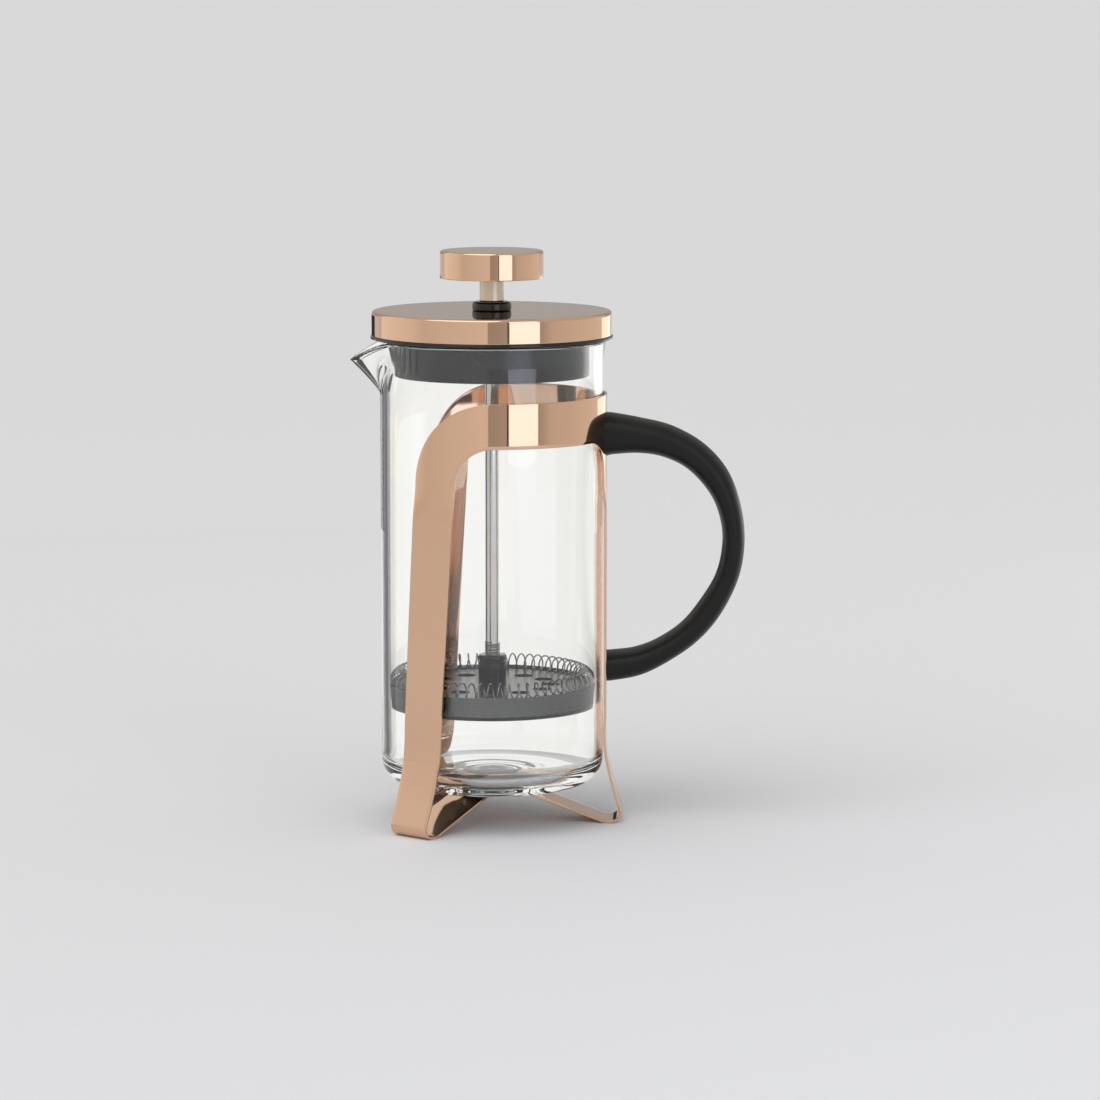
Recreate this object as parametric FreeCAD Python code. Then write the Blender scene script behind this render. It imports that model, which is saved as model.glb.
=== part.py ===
"""French press: a glass beaker in a copper frame, with a plunger, a lid and a D-shaped handle.

Millimetres, +Z up. The spout points along -X and the handle along +X. Every piece is drawn
round the beaker's own axis, and moved by AXIS_X when it is written, so that the origin is the
centre of the bottom of the object's box.
"""
import FreeCAD, Part
import math
import os

Vector = FreeCAD.Vector
UP = Vector(0, 0, 1)

# Beaker
BEAKER_RADIUS = 34.8
BEAKER_WALL = 2.0
BEAKER_HEIGHT = 140.1
BEAKER_BASE_Z = 12.2
BEAKER_CORNER = 8.0
RIM_FLARE = 1.2
RIM_FLARE_HEIGHT = 7.5
BASE_RECESS_RADIUS = 18.0
BASE_RECESS_DEPTH = 2.0
SPOUT_LENGTH = 9.8
SPOUT_DROOP = 6.6
SPOUT_DEPTH = 16.5
SPOUT_HALF_ANGLE = 32.0
SPOUT_LIP_HALF_WIDTH = 3.2
SPOUT_LIP_DEPTH = 3.4

# Frame: one bent sheet with a band, three legs, and three strips that meet at a hub
SHEET = 0.8
FRAME_GAP = 0.4
BAND_HEIGHT = 13.9
BAND_BELOW_RIM = 17.2
LEG_WIDTH = 14.0
CORNER_INNER = 12.0
CORNER_OUTER = 26.0
SIDE_LEG_AZIMUTH = 127.0
SIDE_LEG_LEAN = 10.0
LEG_FLAT_BELOW_TOP = 11.0
WAIST_Z = 28.9
WAIST = 0.2
FLARE_TOP_Z = 37.4
FLARE = ((23.0, 0.15), (17.6, 1.05), (10.6, 2.85), (4.65, 4.6))
FOOT_SPREAD = 5.0
FOOT_BEND = 3.75
FOOT_FLAT = 1.2
HUB_RADIUS = 12.5
HUB_RISE = 9.0
RIVET_RADIUS = 3.0
RIVET_HEAD = 1.2
RIVET_HEAD_RADIUS = 5.1
RIVET_IN_PAD = 1.5
PAD_RADIUS = 9.5
PAD_ROUND = 0.8
STRIP_SLOPE_DEGREES = 21.5

# Handle, from the band to the handle's leg
HANDLE_WIDTH = 16.0
HANDLE_FOOT_Z = 44.6
HANDLE_TOP_BELOW_BAND_TOP = 6.0
# Each station: outer edge then inner edge, as (reach from the frame, share of the handle's height)
HANDLE_STATIONS = (
    ((-3.0, 1.000), (-3.0, 0.840)),
    ((0.3, 1.000), (0.3, 0.840)),
    ((10.2, 0.981), (10.2, 0.851)),
    ((20.3, 0.951), (17.8, 0.836)),
    ((30.3, 0.884), (25.3, 0.791)),
    ((37.8, 0.783), (32.0, 0.703)),
    ((43.0, 0.515), (36.0, 0.515)),
    ((35.3, 0.245), (28.5, 0.291)),
    ((27.8, 0.144), (22.8, 0.212)),
    ((17.8, 0.063), (15.3, 0.153)),
    ((10.2, 0.021), (8.5, 0.123)),
    ((0.3, 0.000), (0.3, 0.111)),
    ((-3.0, 0.000), (-3.0, 0.111)),
)
HANDLE_TOP_SCREW_SHARE = 0.935
HANDLE_FOOT_SCREW_SHARE = 0.056
SCREW_RADIUS = 1.5
SCREW_HEAD_RADIUS = 2.6
SCREW_GRIP = 7.0
INSERT_RADIUS = 2.8
INSERT_LENGTH = 8.0

# Lid
LID_OVERHANG = 2.6
LID_HEIGHT = 7.6
LID_EDGE = 1.1
FLANGE_THICKNESS = 1.0
FLANGE_LIP = 0.35
LINER_GAP = 0.2
LINER_WALL = 1.8
LINER_TOP = 2.5
SKIRT_GAP = 2.4
SKIRT_DEPTH = 11.5
SLOT_COUNT = 16
SLOT_WIDTH = 1.2
SLOT_HEIGHT = 8.0
SLOT_PITCH_DEGREES = 6.0
SLOT_MARGIN = 1.5

# Bushing that the lid turns on and the rod slides in
BUSHING_NECK = 5.0
BUSHING_HEAD = 6.1
BUSHING_HEAD_HEIGHT = 2.8
BUSHING_ROUND = 1.1
RETAINER_RADIUS = 8.0
RETAINER_HEIGHT = 2.4
TURN_CLEARANCE = 0.05
ROD_CLEARANCE = 0.08

# Plunger
ROD_RADIUS = 2.15
SLEEVE_RADIUS = 3.75
SLEEVE_LENGTH = 7.2
KNOB_RADIUS = 16.15
KNOB_HEIGHT = 8.6
KNOB_SHEET = 0.6
KNOB_EDGE = 1.0
KNOB_CORE_RECESS = 0.3
KNOB_INSERT_RADIUS = 4.0
KNOB_INSERT_LENGTH = 6.0
ROD_END_IN_BASE = 0.6

# Filter
FILTER_Z = 36.9
FILTER_SIDE_GAP = 0.6
BASE_FLOOR = 1.5
BASE_HEIGHT = 5.1
BASE_RIM_WALL = 1.3
BASE_LIP = 0.5
BASE_BOSS_RADIUS = 5.0
BASE_HOLE_RADIUS = 2.0
BASE_HOLE_RINGS = 3
MESH_THICKNESS = 0.4
MESH_RIM_HEIGHT = 2.0
MESH_SKIRT_GAP = 0.1
PLATE_THICKNESS = 0.8
PLATE_HOLES = 12
PLATE_HOLE_RADIUS = 3.0
PLATE_HOLE_RING_SHARE = 0.62
COIL_RADIUS = 2.6
NUT_RADIUS = 4.5
NUT_HEIGHT = 9.5
NUT_GROOVE = 0.4
NUT_GROOVE_HEIGHT = 0.6
NUT_GROOVE_SHARE = 0.77
NUT_ROUND = 0.9

# Places worked out from the sizes above
RIM_Z = BEAKER_BASE_Z + BEAKER_HEIGHT
GLASS_INNER = BEAKER_RADIUS - BEAKER_WALL
SPOUT_REACH = BEAKER_RADIUS + SPOUT_LENGTH
SKIRT_RADIUS = GLASS_INNER - SKIRT_GAP
FRAME_INNER = BEAKER_RADIUS + FRAME_GAP
FRAME_OUTER = FRAME_INNER + SHEET
BAND_TOP = RIM_Z - BAND_BELOW_RIM
BAND_BOTTOM = BAND_TOP - BAND_HEIGHT
LEG_TOP = BAND_BOTTOM - CORNER_INNER
HANDLE_TOP_Z = BAND_TOP - HANDLE_TOP_BELOW_BAND_TOP
HANDLE_REACH = FRAME_OUTER + max(outer[0] for outer, inner in HANDLE_STATIONS)
AXIS_X = (SPOUT_REACH - HANDLE_REACH) / 2
STRIP_SLOPE = math.radians(STRIP_SLOPE_DEGREES)
FOOT_CENTRE = FRAME_OUTER + FOOT_SPREAD - FOOT_BEND
HUB_Z = FOOT_BEND * (1 - math.cos(STRIP_SLOPE)) + HUB_RISE
LID_RADIUS = BEAKER_RADIUS + LID_OVERHANG
FLANGE_TOP = RIM_Z + FLANGE_THICKNESS
LID_TOP = FLANGE_TOP + LID_HEIGHT
LINER_TOP_Z = LID_TOP - SHEET
LINER_PLATE_Z = LINER_TOP_Z - LINER_TOP
BUSHING_TOP = LID_TOP + TURN_CLEARANCE + BUSHING_HEAD_HEIGHT
SLEEVE_Z = BUSHING_TOP + TURN_CLEARANCE
KNOB_Z = SLEEVE_Z + SLEEVE_LENGTH
KNOB_TOP = KNOB_Z + KNOB_HEIGHT
KNOB_INSERT_Z = KNOB_Z + KNOB_CORE_RECESS
BASE_RIM_RADIUS = GLASS_INNER - FILTER_SIDE_GAP - BASE_LIP - MESH_THICKNESS
MESH_Z = FILTER_Z + BASE_HEIGHT
PLATE_Z = MESH_Z + MESH_THICKNESS
COIL_Z = PLATE_Z + PLATE_THICKNESS + COIL_RADIUS
COIL_CENTRE = GLASS_INNER - FILTER_SIDE_GAP - COIL_RADIUS
NUT_Z = PLATE_Z + PLATE_THICKNESS


def polar(radius, degrees, z):
    """The point at a radius and azimuth about the beaker's axis."""
    angle = math.radians(degrees)
    return Vector(radius * math.cos(angle), radius * math.sin(angle), z)


def disc(radius, z, height):
    """A solid cylinder on the beaker's axis."""
    return Part.makeCylinder(radius, height, Vector(0, 0, z))


def ring(outer, inner, z, height):
    """A plain ring on the beaker's axis."""
    return disc(outer, z, height).cut(disc(inner, z, height))


def spun(edges):
    """The solid made by turning a closed outline, in the XZ plane, about the beaker's axis."""
    outline = Part.Wire(Part.__sortEdges__(edges))
    solid = Part.Face(outline).revolve(Vector(0, 0, 0), UP, 360)
    return Part.Solid(solid) if solid.ShapeType != "Solid" else solid


def spun_polygon(points):
    """The solid turned from a closed polygon of (radius, height) points."""
    corners = [Vector(radius, 0, z) for radius, z in points]
    corners.append(corners[0])
    return Part.Face(Part.makePolygon(corners)).revolve(Vector(0, 0, 0), UP, 360)


def line(start, end):
    """A straight edge between two (radius, height) points."""
    return Part.makeLine(Vector(start[0], 0, start[1]), Vector(end[0], 0, end[1]))


def arc(start, middle, end):
    """An arc edge through three (radius, height) points."""
    points = [Vector(radius, 0, z) for radius, z in (start, middle, end)]
    return Part.Arc(*points).toShape()


def fillet_circles(solid, radius, z, fillet):
    """Round the circular edges of one radius at one height."""
    edges = []
    for edge in solid.Edges:
        box = edge.BoundBox
        level = abs(box.ZMin - z) < 1e-3 and abs(box.ZMax - z) < 1e-3
        if level and abs(box.XMax - radius) < 1e-3:
            edges.append(edge)
    return solid.makeFillet(fillet, edges)


def vessel(radius, floor_z, corner):
    """A solid with the beaker's shape: a round bottom corner, a straight side and a flared rim."""
    turn = corner * math.sqrt(0.5)
    side = RIM_Z - RIM_FLARE_HEIGHT
    rim = radius + RIM_FLARE
    bend = (radius + RIM_FLARE * 0.3, RIM_Z - RIM_FLARE_HEIGHT * 0.45)
    return spun([
        line((0, floor_z), (radius - corner, floor_z)),
        arc((radius - corner, floor_z), (radius - corner + turn, floor_z + corner - turn),
            (radius, floor_z + corner)),
        line((radius, floor_z + corner), (radius, side)),
        arc((radius, side), bend, (rim, RIM_Z)),
        line((rim, RIM_Z), (0, RIM_Z)),
        line((0, RIM_Z), (0, floor_z)),
    ])


def spout(thinner):
    """The spout's solid: curved sections that shrink towards the lip."""
    root = BEAKER_RADIUS * math.cos(math.radians(SPOUT_HALF_ANGLE))
    root_width = BEAKER_RADIUS * math.sin(math.radians(SPOUT_HALF_ANGLE))
    sections = []
    for share in (0.0, 0.5, 1.0):
        reach = root + (SPOUT_REACH - root) * share
        half = root_width + (SPOUT_LIP_HALF_WIDTH - root_width) * share - thinner
        depth = SPOUT_DEPTH + (SPOUT_LIP_DEPTH - SPOUT_DEPTH) * share - thinner
        top = RIM_Z - SPOUT_DROOP * share ** 2
        left = Vector(-reach, -half, top)
        right = Vector(-reach, half, top)
        channel = Part.Arc(left, Vector(-reach, 0, top - depth), right).toShape()
        sections.append(Part.Wire([channel, Part.makeLine(right, left)]))
    return Part.makeLoft(sections, True, False)


def make_glass_beaker():
    """The beaker, with its spout and the recess under its base."""
    outside = vessel(BEAKER_RADIUS, BEAKER_BASE_Z, BEAKER_CORNER).fuse(spout(0))
    floor = BEAKER_BASE_Z + BASE_RECESS_DEPTH + BEAKER_WALL
    inside = vessel(GLASS_INNER, floor, BEAKER_CORNER - BEAKER_WALL)
    recess = Part.makeCone(BASE_RECESS_RADIUS, BASE_RECESS_RADIUS - 2 * BASE_RECESS_DEPTH,
                           BASE_RECESS_DEPTH, Vector(0, 0, BEAKER_BASE_Z))
    passage = spout(BEAKER_WALL)
    passage.translate(Vector(-1, 0, 0))
    passage = passage.fuse(spout_mouth())
    return outside.cut(inside).cut(passage).cut(recess)


def spout_mouth():
    """The open space above the spout's channel."""
    root = BEAKER_RADIUS * math.cos(math.radians(SPOUT_HALF_ANGLE))
    root_width = BEAKER_RADIUS * math.sin(math.radians(SPOUT_HALF_ANGLE))
    near = Vector(-root, 0, RIM_Z)
    outline = [
        near + Vector(0, root_width - BEAKER_WALL, 0),
        near - Vector(0, root_width - BEAKER_WALL, 0),
        Vector(-SPOUT_REACH - 1, BEAKER_WALL - SPOUT_LIP_HALF_WIDTH, RIM_Z),
        Vector(-SPOUT_REACH - 1, SPOUT_LIP_HALF_WIDTH - BEAKER_WALL, RIM_Z),
    ]
    outline.append(outline[0])
    face = Part.Face(Part.makePolygon(outline))
    face.translate(Vector(0, 0, -SPOUT_DROOP / 2))
    return face.extrude(Vector(0, 0, SPOUT_DROOP))


def unrolled_edge(surface, points):
    """An edge on the frame's cylinder, through points of the unrolled sheet (length, height)."""
    curve_points = [FreeCAD.Base.Vector2d(length / FRAME_OUTER, z) for length, z in points]
    if len(curve_points) == 2:
        return Part.Geom2d.Line2dSegment(*curve_points).toShape(surface)
    curve = Part.Geom2d.BSplineCurve2d()
    curve.interpolate(curve_points)
    return curve.toShape(surface)


def corner_points(centre, across, up, start, end):
    """Points along a quarter turn of the unrolled sheet, from one angle to another."""
    points = []
    for step in range(9):
        angle = math.radians(start + (end - start) * step / 8)
        points.append((centre + across * math.cos(angle), LEG_TOP + up * math.sin(angle)))
    return points


def make_band():
    """The band round the beaker, with its round corners down to the tops of the three legs."""
    leg = FRAME_OUTER * math.radians(SIDE_LEG_AZIMUTH - SIDE_LEG_LEAN)
    half = LEG_WIDTH / 2
    near = half + CORNER_INNER
    far = leg - half - CORNER_INNER
    band = BAND_TOP - LEG_TOP
    runs = [
        [(-far, BAND_TOP), (far, BAND_TOP)],
        corner_points(far, CORNER_OUTER, band, 90, 0),
        [(far + CORNER_OUTER, LEG_TOP), (far + CORNER_INNER, LEG_TOP)],
        corner_points(far, CORNER_INNER, CORNER_INNER, 0, 90),
        [(far, BAND_BOTTOM), (near, BAND_BOTTOM)],
        corner_points(near, CORNER_INNER, CORNER_INNER, 90, 180),
        [(half, LEG_TOP), (-half, LEG_TOP)],
        corner_points(-near, CORNER_INNER, CORNER_INNER, 0, 90),
        [(-near, BAND_BOTTOM), (-far, BAND_BOTTOM)],
        corner_points(-far, CORNER_INNER, CORNER_INNER, 90, 180),
        [(-far - CORNER_INNER, LEG_TOP), (-far - CORNER_OUTER, LEG_TOP)],
        corner_points(-far, CORNER_OUTER, band, 180, 90),
    ]
    surface = Part.makeCylinder(FRAME_OUTER, RIM_Z).Faces[0].Surface
    outline = Part.Wire([unrolled_edge(surface, run) for run in runs])
    face = Part.Face(surface, outline)
    face.validate()
    return face.makeOffsetShape(-SHEET, 1e-3, fill=True)


def leg_path():
    """Outer face of a leg and its strip, as (radius, height, roundness), from the band to the hub."""
    path = [
        (FRAME_OUTER, LEG_TOP, 1.0),
        (FRAME_OUTER, LEG_TOP - LEG_FLAT_BELOW_TOP, 0.0),
        (FRAME_OUTER, FLARE_TOP_Z, 0.0),
        (FRAME_OUTER - WAIST, WAIST_Z, 0.0),
    ]
    path += [(FRAME_OUTER + spread, z, 0.0) for z, spread in FLARE]
    for degrees in range(-10, -91, -20):
        angle = math.radians(degrees)
        path.append((FOOT_CENTRE + FOOT_BEND * math.cos(angle),
                     FOOT_BEND + FOOT_BEND * math.sin(angle), 0.0))
    path.append((FOOT_CENTRE - FOOT_FLAT, 0.0, 0.0))
    for share in (0.5, 1.0):
        angle = math.radians(-90 - STRIP_SLOPE_DEGREES * share)
        path.append((FOOT_CENTRE - FOOT_FLAT + FOOT_BEND * math.cos(angle),
                     FOOT_BEND + FOOT_BEND * math.sin(angle), 0.0))
    path.append((HUB_RADIUS - 2, HUB_Z, 0.0))
    return path


def leg_section(radius, z, roundness, tangent, azimuth):
    """One closed section across a leg: two edges across its width and two through the sheet."""
    inward = (-tangent[1], tangent[0])
    half = LEG_WIDTH / 2
    faces = []
    for depth in (0, SHEET):
        at = radius + inward[0] * depth
        height = z + inward[1] * depth
        sag = (at - math.sqrt(at ** 2 - half ** 2)) * roundness if roundness else 0
        corners = [Vector(at - sag, -half, height), Vector(at, 0, height),
                   Vector(at - sag, half, height)]
        faces.append([turned(corner, azimuth) for corner in corners])
    edges = []
    for left, middle, right in faces:
        if roundness:
            edges.append(Part.Arc(left, middle, right).toShape())
        else:
            edges.append(Part.makeLine(left, right))
    edges.insert(1, Part.makeLine(faces[0][2], faces[1][2]))
    edges.append(Part.makeLine(faces[1][0], faces[0][0]))
    return Part.Wire(Part.__sortEdges__(edges))


def turned(point, degrees):
    """A point turned about the beaker's axis."""
    return FreeCAD.Rotation(UP, degrees).multVec(point)


def make_leg(azimuth, lean):
    """One leg and its strip. A leaning leg starts nearer the handle and ends at its own azimuth."""
    path = leg_path()
    foot_top = FLARE[-1][0]
    sections = []
    for index, (radius, z, roundness) in enumerate(path):
        before = path[max(index - 1, 0)]
        after = path[min(index + 1, len(path) - 1)]
        if index == 0:
            step = (0.0, -1.0)
        else:
            step = (after[0] - before[0], after[1] - before[1])
        size = math.hypot(*step)
        # Turned a quarter turn, this tangent points from the outer face into the sheet
        tangent = (-step[0] / size, -step[1] / size)
        share = max(0.0, (z - foot_top) / (LEG_TOP - foot_top))
        sections.append(leg_section(radius, z, roundness, tangent, azimuth - lean * share))
    return Part.makeLoft(sections, True, True)


def screw_hole(z):
    """The countersunk hole in the sheet for one handle screw."""
    return Part.makeCone(SCREW_HEAD_RADIUS, SCREW_RADIUS, SHEET, Vector(FRAME_INNER, 0, z),
                         Vector(1, 0, 0))


def screw_heights():
    """The heights of the handle's two screws, by name."""
    span = HANDLE_TOP_Z - HANDLE_FOOT_Z
    return {
        "upper": HANDLE_FOOT_Z + span * HANDLE_TOP_SCREW_SHARE,
        "lower": HANDLE_FOOT_Z + span * HANDLE_FOOT_SCREW_SHARE,
    }


def make_frame():
    """The frame: band, legs, strips and hub in one sheet, with holes for the rivet and screws."""
    frame = make_band()
    for azimuth, lean in ((0, 0), (SIDE_LEG_AZIMUTH, SIDE_LEG_LEAN),
                          (-SIDE_LEG_AZIMUTH, -SIDE_LEG_LEAN)):
        frame = frame.fuse(make_leg(azimuth, lean))
    frame = frame.fuse(disc(HUB_RADIUS, HUB_Z, SHEET))
    frame = frame.cut(disc(RIVET_RADIUS, HUB_Z - SHEET, 4 * SHEET))
    for z in screw_heights().values():
        frame = frame.cut(screw_hole(z))
    return frame


def make_hub_rivet():
    """The rivet that holds the rest pad on the hub."""
    head = disc(RIVET_HEAD_RADIUS, HUB_Z - RIVET_HEAD, RIVET_HEAD)
    shank = disc(RIVET_RADIUS, HUB_Z, SHEET + RIVET_IN_PAD)
    return head.fuse(shank)


def make_rest_pad():
    """The pad that the recess under the beaker's base sits on."""
    top = BEAKER_BASE_Z + BASE_RECESS_DEPTH - TURN_CLEARANCE
    bottom = HUB_Z + SHEET
    pad = disc(PAD_RADIUS, bottom, top - bottom)
    pad = fillet_circles(pad, PAD_RADIUS, top, PAD_ROUND)
    return pad.cut(disc(RIVET_RADIUS, bottom, RIVET_IN_PAD))


def make_handle():
    """The D-shaped handle: oval sections from the band round to the leg."""
    span = HANDLE_TOP_Z - HANDLE_FOOT_Z
    sections = []
    for outer, inner in HANDLE_STATIONS:
        out_point = Vector(FRAME_OUTER + outer[0], 0, HANDLE_FOOT_Z + span * outer[1])
        in_point = Vector(FRAME_OUTER + inner[0], 0, HANDLE_FOOT_Z + span * inner[1])
        middle = (out_point + in_point) / 2
        thick = (out_point - in_point).Length / 2
        wide = HANDLE_WIDTH / 2
        across = (out_point - in_point).normalize()
        if wide >= thick:
            oval = Part.Ellipse(middle + Vector(0, wide, 0), middle + across * thick, middle)
        else:
            oval = Part.Ellipse(middle + across * thick, middle + Vector(0, wide, 0), middle)
        sections.append(Part.Wire(oval.toShape()))
    handle = Part.makeLoft(sections, True, False)
    split = (HANDLE_TOP_Z + HANDLE_FOOT_Z) / 2
    low = Part.makeBox(2 * FRAME_OUTER, HANDLE_WIDTH * 2, split,
                       Vector(-FRAME_OUTER, -HANDLE_WIDTH, 0))
    handle = handle.cut(disc(FRAME_OUTER, split, RIM_Z)).cut(low)
    for z in screw_heights().values():
        bore = Part.makeCylinder(INSERT_RADIUS, INSERT_LENGTH, Vector(FRAME_OUTER - 1, 0, z),
                                 Vector(1, 0, 0))
        handle = handle.cut(bore)
    return handle


def make_handle_insert(z):
    """The threaded sleeve moulded into one end of the handle."""
    start = Vector(FRAME_OUTER, 0, z)
    sleeve = Part.makeCylinder(INSERT_RADIUS, INSERT_LENGTH - 1, start, Vector(1, 0, 0))
    return sleeve.cut(Part.makeCylinder(SCREW_RADIUS, INSERT_LENGTH, start, Vector(1, 0, 0)))


def make_handle_screw(z):
    """One countersunk screw, flush with the inside of the sheet."""
    shank = Part.makeCylinder(SCREW_RADIUS, SCREW_GRIP - 1, Vector(FRAME_OUTER, 0, z),
                              Vector(1, 0, 0))
    return shank.fuse(screw_hole(z))


def make_lid_cap():
    """The metal cap: a shallow dish turned upside down over the liner."""
    bottom = FLANGE_TOP
    cap = disc(LID_RADIUS, bottom, LID_HEIGHT)
    cap = fillet_circles(cap, LID_RADIUS, LID_TOP, LID_EDGE)
    cap = cap.cut(disc(LID_RADIUS - SHEET, bottom, LID_HEIGHT - SHEET))
    return cap.cut(disc(BUSHING_NECK + TURN_CLEARANCE, bottom, LID_HEIGHT))


def make_lid_liner():
    """The liner inside the cap: a flange that sits on the rim and a skirt with strainer slots."""
    bore = BUSHING_NECK + TURN_CLEARANCE
    outer = LID_RADIUS - SHEET - LINER_GAP
    flange = LID_RADIUS + FLANGE_LIP
    skirt_bottom = RIM_Z - SKIRT_DEPTH
    liner = spun_polygon([
        (bore, LINER_PLATE_Z), (SKIRT_RADIUS - LINER_WALL, LINER_PLATE_Z),
        (SKIRT_RADIUS - LINER_WALL, skirt_bottom), (SKIRT_RADIUS, skirt_bottom),
        (SKIRT_RADIUS, RIM_Z), (flange, RIM_Z), (flange, FLANGE_TOP), (outer, FLANGE_TOP),
        (outer, LINER_TOP_Z), (bore, LINER_TOP_Z),
    ])
    slot_z = RIM_Z - SLOT_MARGIN - SLOT_HEIGHT
    for index in range(SLOT_COUNT):
        azimuth = 180 + (index - (SLOT_COUNT - 1) / 2) * SLOT_PITCH_DEGREES
        slot = Part.makeBox(3 * LINER_WALL, SLOT_WIDTH, SLOT_HEIGHT,
                            Vector(SKIRT_RADIUS - 2 * LINER_WALL, -SLOT_WIDTH / 2, slot_z))
        slot.rotate(Vector(0, 0, 0), UP, azimuth)
        liner = liner.cut(slot)
    return liner


def make_rod_bushing():
    """The bushing: a round head on the lid and a neck through it, bored for the rod."""
    bottom = LINER_PLATE_Z - TURN_CLEARANCE - RETAINER_HEIGHT
    head_z = LID_TOP + TURN_CLEARANCE
    head = disc(BUSHING_HEAD, head_z, BUSHING_HEAD_HEIGHT)
    head = fillet_circles(head, BUSHING_HEAD, BUSHING_TOP, BUSHING_ROUND)
    head = fillet_circles(head, BUSHING_HEAD, head_z, BUSHING_ROUND)
    bushing = head.fuse(disc(BUSHING_NECK, bottom, head_z - bottom))
    return bushing.cut(disc(ROD_RADIUS + ROD_CLEARANCE, bottom, BUSHING_TOP - bottom))


def make_bushing_retainer():
    """The ring under the lid that keeps the bushing in it."""
    top = LINER_PLATE_Z - TURN_CLEARANCE
    return ring(RETAINER_RADIUS, BUSHING_NECK, top - RETAINER_HEIGHT, RETAINER_HEIGHT)


def make_stem_sleeve():
    """The metal sleeve between the bushing and the knob."""
    return ring(SLEEVE_RADIUS, ROD_RADIUS, SLEEVE_Z, SLEEVE_LENGTH + KNOB_CORE_RECESS)


def make_knob_cap():
    """The knob's metal skin, open underneath."""
    cap = disc(KNOB_RADIUS, KNOB_Z, KNOB_HEIGHT)
    cap = fillet_circles(cap, KNOB_RADIUS, KNOB_TOP, KNOB_EDGE)
    return cap.cut(disc(KNOB_RADIUS - KNOB_SHEET, KNOB_Z, KNOB_HEIGHT - KNOB_SHEET))


def make_knob_core():
    """The moulded core that fills the knob's skin."""
    height = KNOB_HEIGHT - KNOB_SHEET - KNOB_CORE_RECESS
    core = disc(KNOB_RADIUS - KNOB_SHEET, KNOB_INSERT_Z, height)
    return core.cut(disc(KNOB_INSERT_RADIUS, KNOB_INSERT_Z, KNOB_INSERT_LENGTH))


def make_knob_insert():
    """The threaded insert in the core, round the top of the rod."""
    return ring(KNOB_INSERT_RADIUS, ROD_RADIUS, KNOB_INSERT_Z, KNOB_INSERT_LENGTH)


def make_plunger_rod():
    """The rod, from the filter's base up into the knob."""
    bottom = FILTER_Z + ROD_END_IN_BASE
    return disc(ROD_RADIUS, bottom, KNOB_INSERT_Z + KNOB_INSERT_LENGTH - bottom)


def make_filter_base():
    """The cup under the filter: a perforated floor, a rim with a lip and a boss round the rod."""
    inner = BASE_RIM_RADIUS - BASE_RIM_WALL
    base = disc(BASE_RIM_RADIUS, FILTER_Z, BASE_HEIGHT)
    base = base.fuse(disc(BASE_RIM_RADIUS + BASE_LIP, FILTER_Z, 2 * BASE_LIP))
    floor_top = FILTER_Z + BASE_FLOOR
    base = base.cut(ring(inner, BASE_BOSS_RADIUS, floor_top, BASE_HEIGHT))
    spacing = (inner - BASE_BOSS_RADIUS) / BASE_HOLE_RINGS
    for row in range(BASE_HOLE_RINGS):
        radius = BASE_BOSS_RADIUS + spacing * (row + 0.5)
        count = 6 * (row + 1)
        for index in range(count):
            hole = Part.makeCylinder(BASE_HOLE_RADIUS, BASE_FLOOR,
                                     polar(radius, index * 360 / count, FILTER_Z))
            base = base.cut(hole)
    return base.cut(disc(ROD_RADIUS, FILTER_Z + ROD_END_IN_BASE, BASE_HEIGHT))


def make_filter_mesh():
    """The woven screen: a thin disc, with a rim that turns up round the coil and down the base."""
    reach = BASE_RIM_RADIUS + BASE_LIP
    top = MESH_Z + MESH_RIM_HEIGHT
    hem = FILTER_Z + 2 * BASE_LIP + MESH_SKIRT_GAP
    return spun_polygon([
        (ROD_RADIUS, MESH_Z), (BASE_RIM_RADIUS, MESH_Z), (BASE_RIM_RADIUS, hem),
        (BASE_RIM_RADIUS + MESH_THICKNESS, hem), (reach + MESH_THICKNESS, top),
        (reach, top), (reach - MESH_THICKNESS, PLATE_Z), (ROD_RADIUS, PLATE_Z),
    ])


def make_spiral_plate():
    """The perforated plate over the screen, which carries the coil at its edge."""
    plate = ring(COIL_CENTRE, ROD_RADIUS, PLATE_Z, PLATE_THICKNESS)
    for index in range(PLATE_HOLES):
        hole = Part.makeCylinder(PLATE_HOLE_RADIUS, PLATE_THICKNESS,
                                 polar(COIL_CENTRE * PLATE_HOLE_RING_SHARE,
                                       index * 360 / PLATE_HOLES, PLATE_Z))
        plate = plate.cut(hole)
    return plate


def make_coil_spring():
    """The envelope of the wire coil round the plate's edge."""
    return Part.makeTorus(COIL_CENTRE, COIL_RADIUS, Vector(0, 0, COIL_Z))


def make_filter_lock_nut():
    """The nut over the plate, with a groove under its round collar."""
    nut = ring(NUT_RADIUS, ROD_RADIUS, NUT_Z, NUT_HEIGHT)
    groove_z = NUT_Z + NUT_HEIGHT * NUT_GROOVE_SHARE
    groove = ring(NUT_RADIUS + 1, NUT_RADIUS - NUT_GROOVE, groove_z, NUT_GROOVE_HEIGHT)
    nut = nut.cut(groove)
    return fillet_circles(nut, NUT_RADIUS, NUT_Z + NUT_HEIGHT, NUT_ROUND)


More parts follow.
